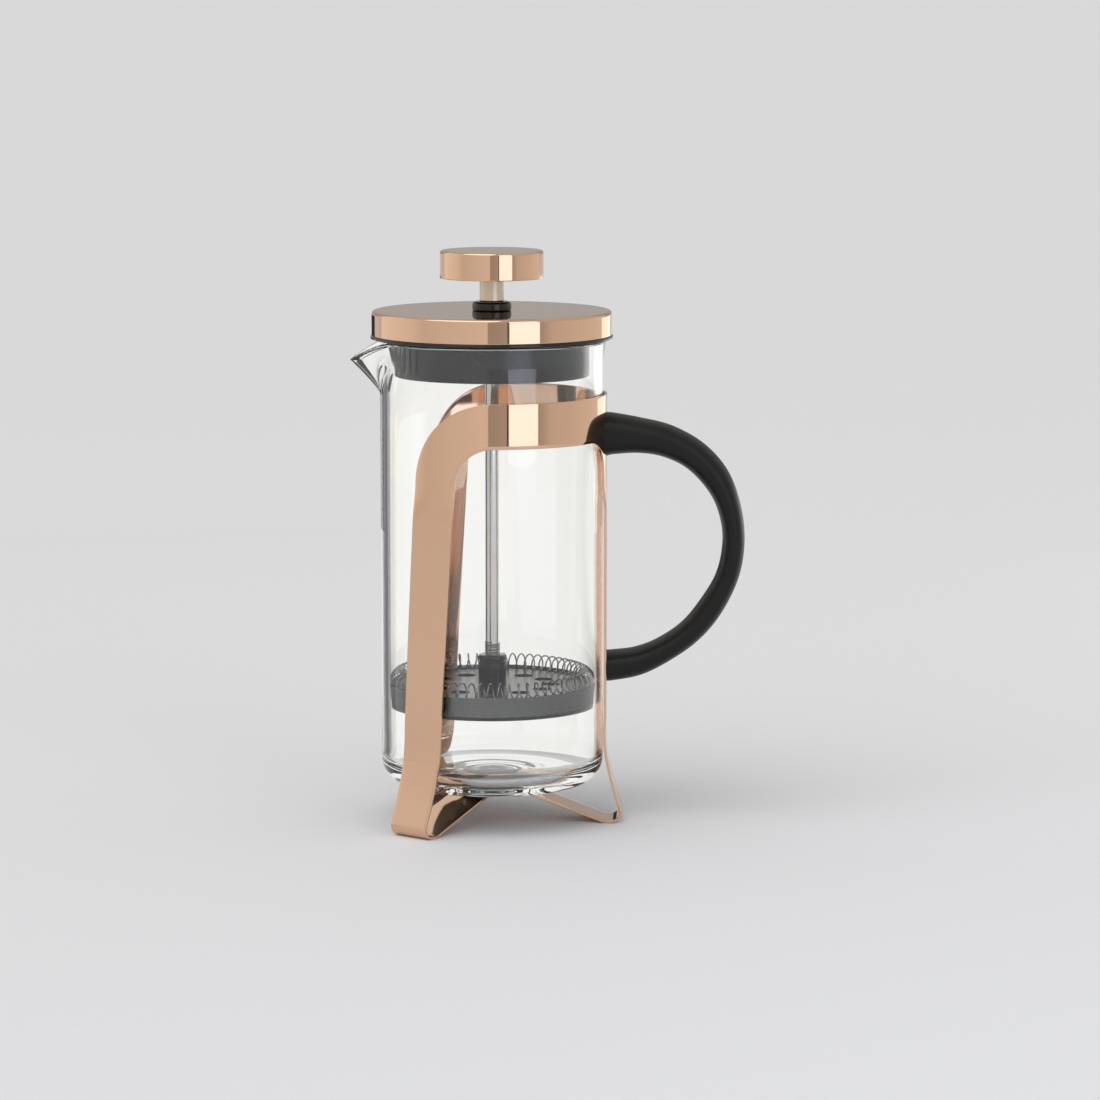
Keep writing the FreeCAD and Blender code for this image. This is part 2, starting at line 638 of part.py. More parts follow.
def all_pieces():
    """Every piece by its node's name, drawn round the beaker's axis."""
    pieces = {
        "frame": make_frame(),
        "hub_rivet": make_hub_rivet(),
        "rest_pad": make_rest_pad(),
        "handle": make_handle(),
        "glass_beaker": make_glass_beaker(),
        "lid_cap": make_lid_cap(),
        "lid_liner": make_lid_liner(),
        "rod_bushing": make_rod_bushing(),
        "bushing_retainer": make_bushing_retainer(),
        "stem_sleeve": make_stem_sleeve(),
        "knob_cap": make_knob_cap(),
        "knob_core": make_knob_core(),
        "knob_insert": make_knob_insert(),
        "plunger_rod": make_plunger_rod(),
        "filter_base": make_filter_base(),
        "filter_mesh": make_filter_mesh(),
        "spiral_plate": make_spiral_plate(),
        "coil_spring": make_coil_spring(),
        "filter_lock_nut": make_filter_lock_nut(),
    }
    for name, z in screw_heights().items():
        pieces["handle_insert_" + name] = make_handle_insert(z)
        pieces["handle_screw_" + name] = make_handle_screw(z)
    return pieces


def main():
    """Write one STEP file for each piece."""
    os.makedirs("parts", exist_ok=True)
    for name, shape in all_pieces().items():
        shape.translate(Vector(AXIS_X, 0, 0))
        shape.exportStep("parts/" + name + ".step")
        print(name, shape.ShapeType, len(shape.Solids), shape.isValid(), round(shape.Volume, 1))


main()
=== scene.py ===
"""The looks of a small french press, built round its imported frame.

Every length is in metres, in the frame's own axes: +Z up, the spout towards -X and the handle
towards +X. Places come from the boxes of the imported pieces.
"""

import logging
import math
from dataclasses import dataclass
from enum import Enum
from typing import Callable, Optional, Sequence, Union

import bmesh
import bpy
from mathutils import Matrix, Vector


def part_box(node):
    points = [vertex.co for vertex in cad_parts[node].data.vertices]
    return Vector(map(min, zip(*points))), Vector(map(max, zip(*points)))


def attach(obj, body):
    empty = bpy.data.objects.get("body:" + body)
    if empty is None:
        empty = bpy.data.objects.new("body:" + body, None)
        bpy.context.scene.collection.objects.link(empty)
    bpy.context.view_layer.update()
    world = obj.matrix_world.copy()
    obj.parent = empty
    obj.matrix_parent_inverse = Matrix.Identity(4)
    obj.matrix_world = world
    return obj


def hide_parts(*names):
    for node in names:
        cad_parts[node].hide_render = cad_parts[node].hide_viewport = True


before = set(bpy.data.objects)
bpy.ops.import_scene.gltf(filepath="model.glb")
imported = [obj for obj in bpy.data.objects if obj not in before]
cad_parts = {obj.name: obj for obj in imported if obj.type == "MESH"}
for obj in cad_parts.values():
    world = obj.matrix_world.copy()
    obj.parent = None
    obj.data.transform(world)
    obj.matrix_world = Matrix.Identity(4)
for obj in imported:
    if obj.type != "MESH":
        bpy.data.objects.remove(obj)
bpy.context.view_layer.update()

log = logging.getLogger("press")
MM = 0.001
TURN = 2 * math.pi
Point = tuple[float, float]
Corner = tuple[float, float, float]


class Body(Enum):
    """The moving bodies of the press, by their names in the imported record."""

    FRAME = "frame"
    BEAKER = "beaker"
    GUIDE = "lid_guide"
    LID = "lid"
    PLUNGER = "plunger"


class Slot(Enum):
    """The record's material slots, named for the new pieces."""

    COPPER = "copper"
    STEEL = "steel"
    WIRE = "mesh_steel"
    GLASS = "glass"
    HANDLE = "black_handle"
    LINER = "black_liner"


class CardSide(Enum):
    """What a card in the studio shows in."""

    REFLECTED = "reflected"
    THROUGH_GLASS = "through glass"


# ---------------------------------------------------------------- node graphs


class Value:
    """A number socket that can be used in Python arithmetic."""

    def __init__(self, graph: "Graph", socket: bpy.types.NodeSocket) -> None:
        """Wrap an output socket of a graph."""
        self.graph = graph
        self.socket = socket

    def __add__(self, other: "Number") -> "Value":
        """Add a number."""
        return self.graph.maths("ADD", self, other)

    __radd__ = __add__

    def __sub__(self, other: "Number") -> "Value":
        """Take a number away."""
        return self.graph.maths("SUBTRACT", self, other)

    def __rsub__(self, other: "Number") -> "Value":
        """Take this value away from a number."""
        return self.graph.maths("SUBTRACT", other, self)

    def __mul__(self, other: "Number") -> "Value":
        """Multiply by a number."""
        return self.graph.maths("MULTIPLY", self, other)

    __rmul__ = __mul__

    def __truediv__(self, other: "Number") -> "Value":
        """Divide by a number."""
        return self.graph.maths("DIVIDE", self, other)

    def __rtruediv__(self, other: "Number") -> "Value":
        """Divide a number by this value."""
        return self.graph.maths("DIVIDE", other, self)

    def __pow__(self, other: "Number") -> "Value":
        """Raise to a power."""
        return self.graph.maths("POWER", self, other)


Number = Union[Value, float, int]


class Graph:
    """A node tree that is filled from Python."""

    def __init__(self, tree: bpy.types.NodeTree) -> None:
        """Start from a tree."""
        self.tree = tree

    def node(self, kind: str, feeds: Optional[dict] = None,
             **settings: object) -> bpy.types.Node:
        """Add one node.

        Args:
            kind: The node's type.
            feeds: A value, socket or constant for each socket, by name or index.
            settings: The node's own settings.

        Returns:
            The new node.
        """
        node = self.tree.nodes.new(kind)
        for name, setting in settings.items():
            setattr(node, name, setting)
        for name, feed in (feeds or {}).items():
            source = feed.socket if isinstance(feed, Value) else feed
            if isinstance(source, bpy.types.NodeSocket):
                self.tree.links.new(source, node.inputs[name])
            else:
                node.inputs[name].default_value = source
        return node

    def out(self, kind: str, feeds: Optional[dict] = None,
            **settings: object) -> bpy.types.NodeSocket:
        """Add one node, as node() does, and give its first output."""
        return self.node(kind, feeds, **settings).outputs[0]

    def maths(self, operation: str, *numbers: Number) -> Value:
        """Add a Math node and give its result."""
        feeds = dict(enumerate(numbers))
        return Value(self, self.out("ShaderNodeMath", feeds, operation=operation))

    def vector(self, *parts: Number) -> bpy.types.NodeSocket:
        """Join up to three numbers into a vector."""
        return self.out("ShaderNodeCombineXYZ", dict(enumerate(parts)))


class PieceTree(Graph):
    """A Geometry Nodes tree with named sizes, which ends in real geometry with a material."""

    def __init__(self, name: str, sizes: dict[str, float]) -> None:
        """Make the tree and its sockets.

        Args:
            name: The tree's name.
            sizes: The named inputs and their values. Whole numbers become integer inputs.
        """
        super().__init__(bpy.data.node_groups.new(name, "GeometryNodeTree"))
        self.sizes = sizes
        self._socket("Geometry", "Geometry")
        self.keys = {label: self._socket(label, "Int" if isinstance(size, int) else "Float")
                     for label, size in sizes.items()}
        self.material_key = self._socket("Material", "Material")
        self._socket("Geometry", "Geometry", "OUTPUT")
        self.start = self.node("NodeGroupInput")

    def _socket(self, label: str, kind: str, way: str = "INPUT") -> str:
        """Add a socket to the tree's interface and give its identifier."""
        return self.tree.interface.new_socket(
            label, in_out=way, socket_type="NodeSocket" + kind).identifier

    def size(self, label: str) -> Value:
        """One of the named sizes."""
        return Value(self, self.start.outputs[label])

    def index(self) -> Value:
        """The number of the point at hand."""
        return Value(self, self.out("GeometryNodeInputIndex"))

    def sweep(self, curve: bpy.types.NodeSocket, sides: int,
              caps: bool = True) -> bpy.types.NodeSocket:
        """Sweep a round section of the size "Wire" along curves.

        Args:
            curve: The curves.
            sides: The section's sides.
            caps: Whether the ends are closed.

        Returns:
            The swept mesh.
        """
        ring = self.out("GeometryNodeCurvePrimitiveCircle", {
            "Resolution": sides, "Radius": self.size("Wire")})
        return self.out("GeometryNodeCurveToMesh", {
            "Curve": curve, "Profile Curve": ring, "Fill Caps": caps})

    def resample(self, **ends: tuple) -> bpy.types.NodeSocket:
        """A straight curve cut into the size "Points", between the line node's ends."""
        line = self.out("GeometryNodeCurvePrimitiveLine", ends)
        return self.out("GeometryNodeResampleCurve", {
            "Curve": line, "Count": self.size("Points")})

    def move(self, geometry: bpy.types.NodeSocket, *spot: Number) -> bpy.types.NodeSocket:
        """Move points to the coordinates that a rule gives them."""
        return self.out("GeometryNodeSetPosition", {
            "Geometry": geometry, "Position": self.vector(*spot)})

    def wire(self, sides: int, closed: bool, *spot: Number) -> bpy.types.NodeSocket:
        """Sweep a round wire along points that a rule places.

        Args:
            sides: The sides of its section.
            closed: Whether the wire joins up.
            spot: The coordinates that the rule gives a point.

        Returns:
            The wire's mesh.
        """
        loop = self.out("GeometryNodeSetSplineCyclic", {
            "Geometry": self.move(self.resample(), *spot), "Cyclic": closed})
        return self.sweep(loop, sides, not closed)

    def grow(self, name: str, geometry: bpy.types.NodeSocket, material: bpy.types.Material,
             seed: Optional[bpy.types.Mesh] = None) -> bpy.types.Mesh:
        """End the tree, run it and keep its result as a plain mesh.

        Args:
            name: The new mesh's name.
            geometry: The socket that carries the finished geometry.
            material: The finish that the tree sets.
            seed: The mesh that the tree starts from, if it needs one.

        Returns:
            The mesh.
        """
        real = self.out("GeometryNodeRealizeInstances", {"Geometry": geometry})
        shaded = self.out("GeometryNodeSetShadeSmooth", {"Geometry": real})
        dressed = self.out("GeometryNodeSetMaterial", {
            "Geometry": shaded, "Material": self.start.outputs["Material"]})
        self.node("NodeGroupOutput", {0: dressed})
        source = place(name + "_source", seed or bpy.data.meshes.new(name + "_seed"))
        modifier = source.modifiers.new("grow", "NODES")
        modifier.node_group = self.tree
        for label, size in self.sizes.items():
            modifier[self.keys[label]] = size
        modifier[self.material_key] = material
        return applied(source, name)


# ---------------------------------------------------------------- meshes


def place(name: str, mesh: bpy.types.Mesh) -> bpy.types.Object:
    """Put a mesh in the scene at the origin.

    Args:
        name: The new object's name.
        mesh: Its mesh.

    Returns:
        The object.
    """
    piece = bpy.data.objects.new(name, mesh)
    bpy.context.scene.collection.objects.link(piece)
    return piece


def applied(source: bpy.types.Object, name: str) -> bpy.types.Mesh:
    """Apply a helper object's modifiers, and remove the helper.

    Args:
        source: The helper, with live modifiers.
        name: The result's name.

    Returns:
        The result, as a plain mesh.
    """
    graph = bpy.context.evaluated_depsgraph_get()
    mesh = bpy.data.meshes.new_from_object(source.evaluated_get(graph))
    bpy.data.objects.remove(source)
    mesh.name = name
    return mesh


def new_mesh(name: str, vertices: Sequence, faces: Sequence,
             edges: Sequence = ()) -> bpy.types.Mesh:
    """Make a mesh.

    Args:
        name: Its name.
        vertices: Its points.
        faces: Its faces, each the numbers of its points.
        edges: Its loose edges, in the same way.

    Returns:
        The mesh.
    """
    mesh = bpy.data.meshes.new(name)
    mesh.from_pydata(vertices, edges, faces)
    return mesh


def smooth(mesh: bpy.types.Mesh, angle: float = 40.0) -> bpy.types.Mesh:
    """Shade a mesh smooth.

    Args:
        mesh: The mesh.
        angle: The angle past which an edge is sharp, in degrees.

    Returns:
        The same mesh.
    """
    mesh.polygons.foreach_set("use_smooth", [True] * len(mesh.polygons))
    mesh.set_sharp_from_angle(angle=math.radians(angle))
    return mesh


def merged(mesh: bpy.types.Mesh, distance: float) -> bpy.types.Mesh:
    """Join a mesh's coincident points and point its faces outwards.

    Args:
        mesh: The mesh to clean.
        distance: Points nearer than this are joined.

    Returns:
        The same mesh.
    """
    work = bmesh.new()
    work.from_mesh(mesh)
    bmesh.ops.remove_doubles(work, verts=work.verts, dist=distance)
    bmesh.ops.recalc_face_normals(work, faces=work.faces)
    work.to_mesh(mesh)
    work.free()
    return mesh


def ease(share: float) -> float:
    """A smooth step from 0 to 1."""
    share = min(max(share, 0.0), 1.0)
    return share * share * (3 - 2 * share)


def straight(start: Point, end: Point, steps: int) -> list[Point]:
    """Evenly spaced points from a start, which is left out, to an end."""
    return [(start[0] + (end[0] - start[0]) * i / steps,
             start[1] + (end[1] - start[1]) * i / steps) for i in range(1, steps + 1)]


def arc(centre: Point, radius: float, start: float, end: float, steps: int) -> list[Point]:
    """Evenly spaced points along an arc, its start left out, with angles in degrees."""
    angles = [math.radians(start + (end - start) * i / steps) for i in range(1, steps + 1)]
    return [(centre[0] + radius * math.cos(a), centre[1] + radius * math.sin(a)) for a in angles]


def rounded(corners: Sequence[Corner], steps: int) -> list[Point]:
    """Round the corners of a closed outline, with a support point beside each round.

    Args:
        corners: The corners, each a radius, a height and a fillet.
        steps: The steps in each fillet.

    Returns:
        The outline's points.
    """
    points: list[Point] = []
    for index, (r, z, fillet) in enumerate(corners):
        here = Vector((r, z))
        if fillet <= 0:
            points.append((r, z))
            continue
        before = Vector(corners[index - 1][:2]) - here
        after = Vector(corners[(index + 1) % len(corners)][:2]) - here
        half = before.angle(after) / 2
        reach = min(fillet / math.tan(half), before.length * 0.49, after.length * 0.49)
        start = here + before.normalized() * reach
        end = here + after.normalized() * reach
        support = min(fillet * 0.3, before.length * 0.02, after.length * 0.02)
        points.append(tuple(start + before.normalized() * support))
        for step in range(steps + 1):
            share = step / steps
            points.append(tuple(start.lerp(here, share).lerp(here.lerp(end, share), share)))
        points.append(tuple(end + after.normalized() * support))
    return points


def spline(keys: Sequence[tuple[float, ...]], count: int) -> list[tuple[float, ...]]:
    """Points along a smooth curve through key points, evenly shared between them.

    Args:
        keys: The key points, of any number of coordinates.
        count: The number of steps between two keys.

    Returns:
        The points, ends included.
    """
    points: list[tuple[float, ...]] = []
    padded = [keys[0], *keys, keys[-1]]
    for index in range(len(keys) - 1):
        for step in range(count):
            t = step / count
            points.append(tuple(
                0.5 * (2 * b + (c - a) * t + (2 * a - 5 * b + 4 * c - d) * t * t
                       + (3 * b - 3 * c + d - a) * t ** 3)
                for a, b, c, d in zip(*padded[index:index + 4])))
    points.append(tuple(keys[-1]))
    return points


def round_box(node: str) -> Corner:
    """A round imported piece's radius, bottom and top."""
    low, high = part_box(node)
    return (high.x - low.x) / 2, low.z, high.z


def dress(name: str, mesh: bpy.types.Mesh, material: bpy.types.Material, slot: Slot,
          body: Body, *nodes: str) -> None:
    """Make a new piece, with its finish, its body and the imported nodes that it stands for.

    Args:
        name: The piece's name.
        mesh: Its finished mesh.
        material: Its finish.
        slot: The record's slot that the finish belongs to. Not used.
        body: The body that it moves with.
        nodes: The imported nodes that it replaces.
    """
    piece = place(name, mesh)
    mesh.materials.clear()
    mesh.materials.append(material)
    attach(piece, body.value)
    if nodes:
        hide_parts(*nodes)
    log.info("%s: %d faces on %s", name, len(mesh.polygons), body.value)


def repaint(material: bpy.types.Material, *nodes: str) -> None:
    """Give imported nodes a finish, and leave their shapes alone.

    Args:
        material: The finish.
        nodes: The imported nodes.
    """
    for node in nodes:
        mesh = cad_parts[node].data
        mesh.materials.clear()
        mesh.materials.append(material)
        log.info("%s: packed shape kept", node)


@dataclass(frozen=True)
class Lathe:
    """Turns outlines about the beaker's axis.

    Attributes:
        axis_x: The axis's place along X.
        segments: The steps round the axis.
    """

    axis_x: float
    segments: int = 144

    def warp(self, name: str, outline: Sequence[Point],
             bend: Callable[[float, float, float], Point],
             turns: Sequence[float]) -> bpy.types.Mesh:
        """Turn a closed outline whose points move with the azimuth.

        Args:
            name: The mesh's name.
            outline: Its points, anticlockwise with the radius across. Radius 0 is a pole.
            bend: Gives a point's radius and height at an azimuth.
            turns: The azimuths, in radians.

        Returns:
            The closed mesh.
        """
        vertices: list[Corner] = []
        rings: list[list[int]] = []
        for r, z in outline:
            first = len(vertices)
            if r < 1e-7:
                rings.append([first] * len(turns))
                vertices.append((self.axis_x, 0.0, z))
                continue
            rings.append(list(range(first, first + len(turns))))
            for angle in turns:
                radius, height = bend(r, z, angle)
                vertices.append((self.axis_x + radius * math.cos(angle),
                                 radius * math.sin(angle), height))
        faces = []
        for ring, after in zip(rings, rings[1:] + rings[:1]):
            if ring[0] == ring[1] and after[0] == after[1]:
                continue
            for step in range(len(turns)):
                following = (step + 1) % len(turns)
                corners = (ring[step], ring[following], after[following], after[step])
                faces.append(list(dict.fromkeys(corners)))
        mesh = new_mesh(name, vertices, faces)
        mesh.validate()
        return mesh

    def turn(self, name: str, outline: Sequence[Point]) -> bpy.types.Mesh:
        """Turn a closed outline evenly, clean the result and shade it smooth."""
        turns = [TURN * i / self.segments for i in range(self.segments)]
        return smooth(merged(self.warp(name, outline, lambda r, z, _: (r, z), turns), 1e-8))

    def piece(self, name: str, steps: int, corners: Sequence[Corner],
              *dressing: object) -> None:
        """Turn a rounded outline into a piece. The dressing is what dress() takes."""
        dress(name, self.turn(name, rounded(corners, steps)), *dressing)


# ---------------------------------------------------------------- finishes


class MaterialGraph(Graph):
    """A new material and the graph that fills it, in Object coordinates."""

    def __init__(self, name: str) -> None:
        """Make the empty material."""
        self.material = bpy.data.materials.new(name)
        self.material.use_nodes = True
        self.material.node_tree.nodes.clear()
        super().__init__(self.material.node_tree)

    def noise(self, scale: float, detail: float, stretch: Corner = (1, 1, 1),
              roughness: float = 0.5) -> Value:
        """Add a noise.

        Args:
            scale: How fine it is.
            detail: Its octaves.
            stretch: The scale along each axis.
            roughness: How strong the finer octaves are.

        Returns:
            The noise, from 0 to 1.
        """
        spot = self.out("ShaderNodeMapping", {
            "Vector": self.node("ShaderNodeTexCoord").outputs["Object"], "Scale": stretch})
        return Value(self, self.out("ShaderNodeTexNoise", {
            "Vector": spot, "Scale": scale, "Detail": detail, "Roughness": roughness}))

    def bump(self, strength: float, distance: float, height: Value) -> bpy.types.NodeSocket:
        """Add a bump and give its normal."""
        return self.out("ShaderNodeBump", {
            "Strength": strength, "Distance": distance, "Height": height})

    def mix(self, factor: Value, first: tuple, second: tuple) -> bpy.types.NodeSocket:
        """Mix two colours, by the share of the second."""
        node = self.node("ShaderNodeMix", {"Factor": factor, 6: first, 7: second},
                         data_type="RGBA")
        return node.outputs[2]

    def close(self, feeds: dict, kind: str = "ShaderNodeBsdfPrincipled") -> bpy.types.Material:
        """Send a shader to the material's output, and give the material."""
        self.node("ShaderNodeOutputMaterial", {"Surface": self.out(kind, feeds)})
        return self.material


@dataclass(frozen=True)
class CopperFinish:
    """Polished rose-gold plate, with faint smears and fine polishing lines.

    Attributes:
        colour: The metal's colour.
        deep: The colour in its deeper patches.
        polish: The roughness where it is cleanest.
        smear: How much rougher a smear is.
        patch_from: The noise at which a deeper patch starts.
        patch_gain: How sharply it deepens.
    """

    colour: tuple = (0.750, 0.490, 0.335, 1.0)
    deep: tuple = (0.725, 0.460, 0.308, 1.0)
    polish: float = 0.035
    smear: float = 0.035
    patch_from: float = 0.45
    patch_gain: float = 2.2

    def build(self) -> bpy.types.Material:
        """Build the material.

        Returns:
            The material.
        """
        graph = MaterialGraph("rose_copper_plate")
        cloud = graph.noise(38.0, 4.0, roughness=0.6)
        lines = graph.noise(90.0, 3.0, (1, 1, 60))
        patches = graph.maths("MAXIMUM", (cloud - self.patch_from) * self.patch_gain, 0.0)
        shade = graph.mix(graph.maths("MINIMUM", patches, 1.0), self.colour, self.deep)
        return graph.close({
            "Base Color": shade, "Metallic": 1.0,
            "Roughness": self.polish + cloud * self.smear,
            "Normal": graph.bump(0.03, 0.02 * MM, lines)})


@dataclass(frozen=True)
class SteelFinish:
    """Satin steel, brushed in fine rings round the axis.

    Attributes:
        name: The material's name.
        colour: The metal's colour.
        roughness: The middle roughness.
        uneven: How much the roughness varies.
    """

    name: str
    colour: tuple
    roughness: float
    uneven: float = 0.12

    def build(self) -> bpy.types.Material:
        """Build the material.

        Returns:
            The material.
        """
        graph = MaterialGraph(self.name)
        brushed = graph.noise(260.0, 4.0, (1, 1, 30))
        return graph.close({
            "Base Color": self.colour, "Metallic": 1.0,
            "Roughness": self.roughness - self.uneven / 2 + brushed * self.uneven,
            "Normal": graph.bump(0.12, 0.03 * MM, brushed)})


@dataclass(frozen=True)
class GlassFinish:
    """Clear drinking glass with a faint green tint, and a slight wave in its surface.

    Attributes:
        tint: The glass's colour.
        ior: Its refractive index.
    """

    tint: tuple = (0.985, 0.995, 0.99, 1.0)
    ior: float = 1.47

    def build(self) -> bpy.types.Material:
        """Build the material.

        Returns:
            The material.
        """
        graph = MaterialGraph("clear_beaker_glass")
        wave = graph.noise(60.0, 1.0, (1, 1, 0.4))
        return graph.close({
            "Base Color": self.tint, "Roughness": 0.0, "IOR": self.ior,
            "Transmission Weight": 1.0, "Normal": graph.bump(0.02, 0.1 * MM, wave)})


@dataclass(frozen=True)
class PlasticFinish:
    """Moulded plastic with a fine grain.

    Attributes:
        name: The material's name.
        colour: The plastic's colour.
        roughness: The middle roughness.
        grain: How strongly the grain shows.
        ior: Its refractive index, which sets how strongly it shines.
        worn: How much lighter the worn places are.
        uneven: How much the roughness varies.
    """

    name: str
    colour: tuple
    roughness: float
    grain: float
    ior: float = 1.45
    worn: float = 1.35
    uneven: float = 0.08

    def build(self) -> bpy.types.Material:
        """Build the material.

        Returns:
            The material.
        """
        graph = MaterialGraph(self.name)
        grain, wear = graph.noise(1400.0, 3.0), graph.noise(45.0, 3.0)
        lighter = tuple(min(1.0, part * self.worn) for part in self.colour[:3]) + (1.0,)
        return graph.close({
            "Base Color": graph.mix(wear, self.colour, lighter),
            "Roughness": self.roughness - self.uneven / 2 + wear * self.uneven,
            "IOR": self.ior, "Normal": graph.bump(self.grain, 0.04 * MM, grain)})


@dataclass(frozen=True)
class FloorFinish:
    """The plain pale floor.

    Attributes:
        colour: Its colour.
    """

    colour: tuple = (0.775, 0.78, 0.80, 1.0)

    def build(self) -> bpy.types.Material:
        """Build the material."""
        return MaterialGraph("pale_floor").close({
            "Base Color": self.colour, "Roughness": 0.8, "Specular IOR Level": 0.2})


class Finishes:
    """Every finish of the press, built once."""

    def __init__(self) -> None:
        """Build the materials."""
        self.copper = CopperFinish().build()
        self.sleeve = SteelFinish("satin_sleeve_steel", (0.74, 0.69, 0.57, 1.0), 0.46).build()
        self.steel = SteelFinish("polished_rod_steel", (0.66, 0.66, 0.64, 1.0), 0.12).build()
        self.plate = SteelFinish("dull_plate_steel", (0.15, 0.15, 0.145, 1.0), 0.30).build()
        self.wire = SteelFinish("coil_wire_steel", (0.24, 0.24, 0.23, 1.0), 0.18).build()
        self.screen = SteelFinish("dark_screen_wire", (0.22, 0.22, 0.215, 1.0), 0.30).build()
        self.glass = GlassFinish().build()
        self.handle = PlasticFinish(
            "matte_handle_plastic", (0.0080, 0.0077, 0.0070, 1), 0.38, 0.25, 1.30).build()
        self.liner = PlasticFinish(
            "glossy_liner_plastic", (0.010, 0.010, 0.0095, 1), 0.12, 0.03).build()
        # The rest pad under the beaker's base, coloured near black.
        self.pad = PlasticFinish("near_black_rest_pad", (0.04, 0.04, 0.04, 1), 0.6, 0.5).build()


# ---------------------------------------------------------------- the beaker


@dataclass
class Beaker:
    """The glass beaker.

    Attributes:
        lathe: Turns the outline.
        finishes: The press's finishes.
        wall: The glass's thickness.
        corner: The radius of the outer bottom corner.
        flare: How far the rim stands out.
        flare_height: The height over which it does.
        flare_power: How late the flare starts: 1 is a cone.
        bend_share: The height that bends at all, in flare heights.
        rim_round: The height of the rim's rounded edge, in walls.
        spout_half_angle: Half the spout's width about the axis, in degrees.
        spout_blunt: How blunt its tip is, in degrees.
        spout_blend: How softly its sides meet the rim, in degrees.
        spout_droop: How far the lip is below the rim.
        spout_depth: The height of the spout's underside at the middle.
        spout_swell: How soon it gets deeper towards the middle.
        spout_power: How much straighter than the flare the spout's underside is.
        lip_thick: How much thicker the lip is, in walls.
        recess_radius: The radius of the recess under the base.
        recess_depth: How deep it is.
        recess_flat: The share of its radius that is flat.
        ring_count: The moulded rings in the recess.
        ring_height: How far a ring stands out, near the middle.
        columns: The steps round the axis.
        crowding: How much closer they are across the spout.
    """

    lathe: Lathe
    finishes: Finishes
    wall: float = 2.0 * MM
    corner: float = 8.0 * MM
    flare: float = 1.2 * MM
    flare_height: float = 7.5 * MM
    flare_power: float = 2.2
    bend_share: float = 2.4
    rim_round: float = 0.45
    spout_half_angle: float = 32.0
    spout_blunt: float = 3.2
    spout_blend: float = 9.0
    spout_droop: float = 6.6 * MM
    spout_depth: float = 10.9 * MM
    spout_swell: float = 0.6
    spout_power: float = 1.05
    lip_thick: float = 0.3
    recess_radius: float = 18.0 * MM
    recess_depth: float = 2.0 * MM
    recess_flat: float = 0.45
    ring_count: int = 3
    ring_height: float = 0.24 * MM
    columns: int = 220
    crowding: float = 0.55

    def __post_init__(self) -> None:
        """Read the beaker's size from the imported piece."""
        low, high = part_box("glass_beaker")
        self.base_z, self.rim_z = low.z, high.z
        self.radius = high.y - self.flare
        self.spout_reach = self.lathe.axis_x - low.x
        self.split = self.rim_z - self.bend_share * self.flare_height

    def _rim_reach(self, angle: float) -> float:
        """How far the rim is from the axis: round, with straight spout sides.

        Args:
            angle: The azimuth, in radians.

        Returns:
            The distance.
        """
        rim = self.radius + self.flare
        half = math.radians(self.spout_half_angle)
        blunt = math.radians(self.spout_blunt)
        away = math.hypot(angle % TURN - math.pi, blunt) - blunt
        if away >= half:
            return rim
        side = math.sin(half) / (math.sin(half - away) / self.spout_reach + math.sin(away) / rim)
        return rim + (side - rim) * ease((half - away) / math.radians(self.spout_blend))

    def _bend(self, inset: float, r: float, z: float, angle: float) -> Point:
        """Flare the rim and draw the spout.

        Args:
            inset: 0 for the outside, or the wall's thickness for the inside.
            r: The radius of a point of the outline.
            z: Its height.
            angle: The azimuth, in radians.

        Returns:
            The point's radius and height at that azimuth.
        """
        if z <= self.split:
            return r, z
        rim = self.radius + self.flare
        reach = self._rim_reach(angle)
        pull = max(0.0, (reach - rim) / (self.spout_reach - rim))
        swell = pull ** self.spout_swell
        height = self.flare_height + (self.spout_depth - self.flare_height) * swell
        top = self.rim_z - self.spout_droop * pull
        rise = self.split + (top - self.split) * (z - self.split) / (self.rim_z - self.split)
        climb = max(0.0, (rise - top + height) / height)
        outwards = reach - self.radius - inset * self.lip_thick * pull
        return r + outwards * climb ** (self.flare_power - self.spout_power * pull), rise

    def _outline(self) -> tuple[list[Point], list[Point]]:
        """Draw the closed outline.

        Returns:
            The points on the outside, and those on the inside.
        """
        outside: list[Point] = [(0.0, self.base_z + self.recess_depth)]
        for share, _ in straight((0.0, 0.0), (1.0, 0.0), 40):
            ripple = self.ring_height * math.cos(share * TURN * self.ring_count) * (1 - share)
            fall = ease((share - self.recess_flat) / (1 - self.recess_flat))
            arch = self.recess_depth * (1 - fall)
            outside.append((self.recess_radius * share, self.base_z + arch + ripple))
        middle = self.radius - self.corner
        side = self.base_z + self.corner
        outside.append((middle, self.base_z))
        outside += arc((middle, side), self.corner, -90, 0, 12)
        outside += straight((self.radius, side), (self.radius, self.split), 6)
        outside += straight((self.radius, self.split), (self.radius, self.rim_z), 28)[:-1]
        top = [(self.radius - self.wall * (0.5 - 0.5 * math.cos(math.radians(a))),
                self.rim_z - self.rim_round * self.wall * (1 - math.sin(math.radians(a))))
               for a in range(0, 181, 20)]
        inner = self.radius - self.wall
        small = self.corner - self.wall
        floor = self.base_z + self.recess_depth + self.wall
        inside = straight((inner, self.rim_z), (inner, self.split), 28)
        inside += straight((inner, self.split), (inner, floor + small), 6)
        inside += arc((inner - small, floor + small), small, 0, -90, 10)
        inside += straight((inner - small, floor), (0.0, floor), 8)
        half = len(top) // 2
        return outside + top[:half], top[half:] + inside

    def build(self) -> None:
        """Build the beaker, with azimuths that are closer together across the spout."""
        outside, inside = self._outline()
        insets = dict.fromkeys(outside, 0.0) | dict.fromkeys(inside, self.wall)
        even = [TURN * step / self.columns for step in range(self.columns)]
        mesh = self.lathe.warp(
            "beaker_glass", outside + inside,
            lambda r, z, angle: self._bend(insets[(r, z)], r, z, angle),
            [angle + self.crowding * math.sin(angle) for angle in even])
        dress("beaker_glass", smooth(mesh, 60.0), self.finishes.glass, Slot.GLASS, Body.BEAKER,
              "glass_beaker")


# ---------------------------------------------------------------- the copper frame


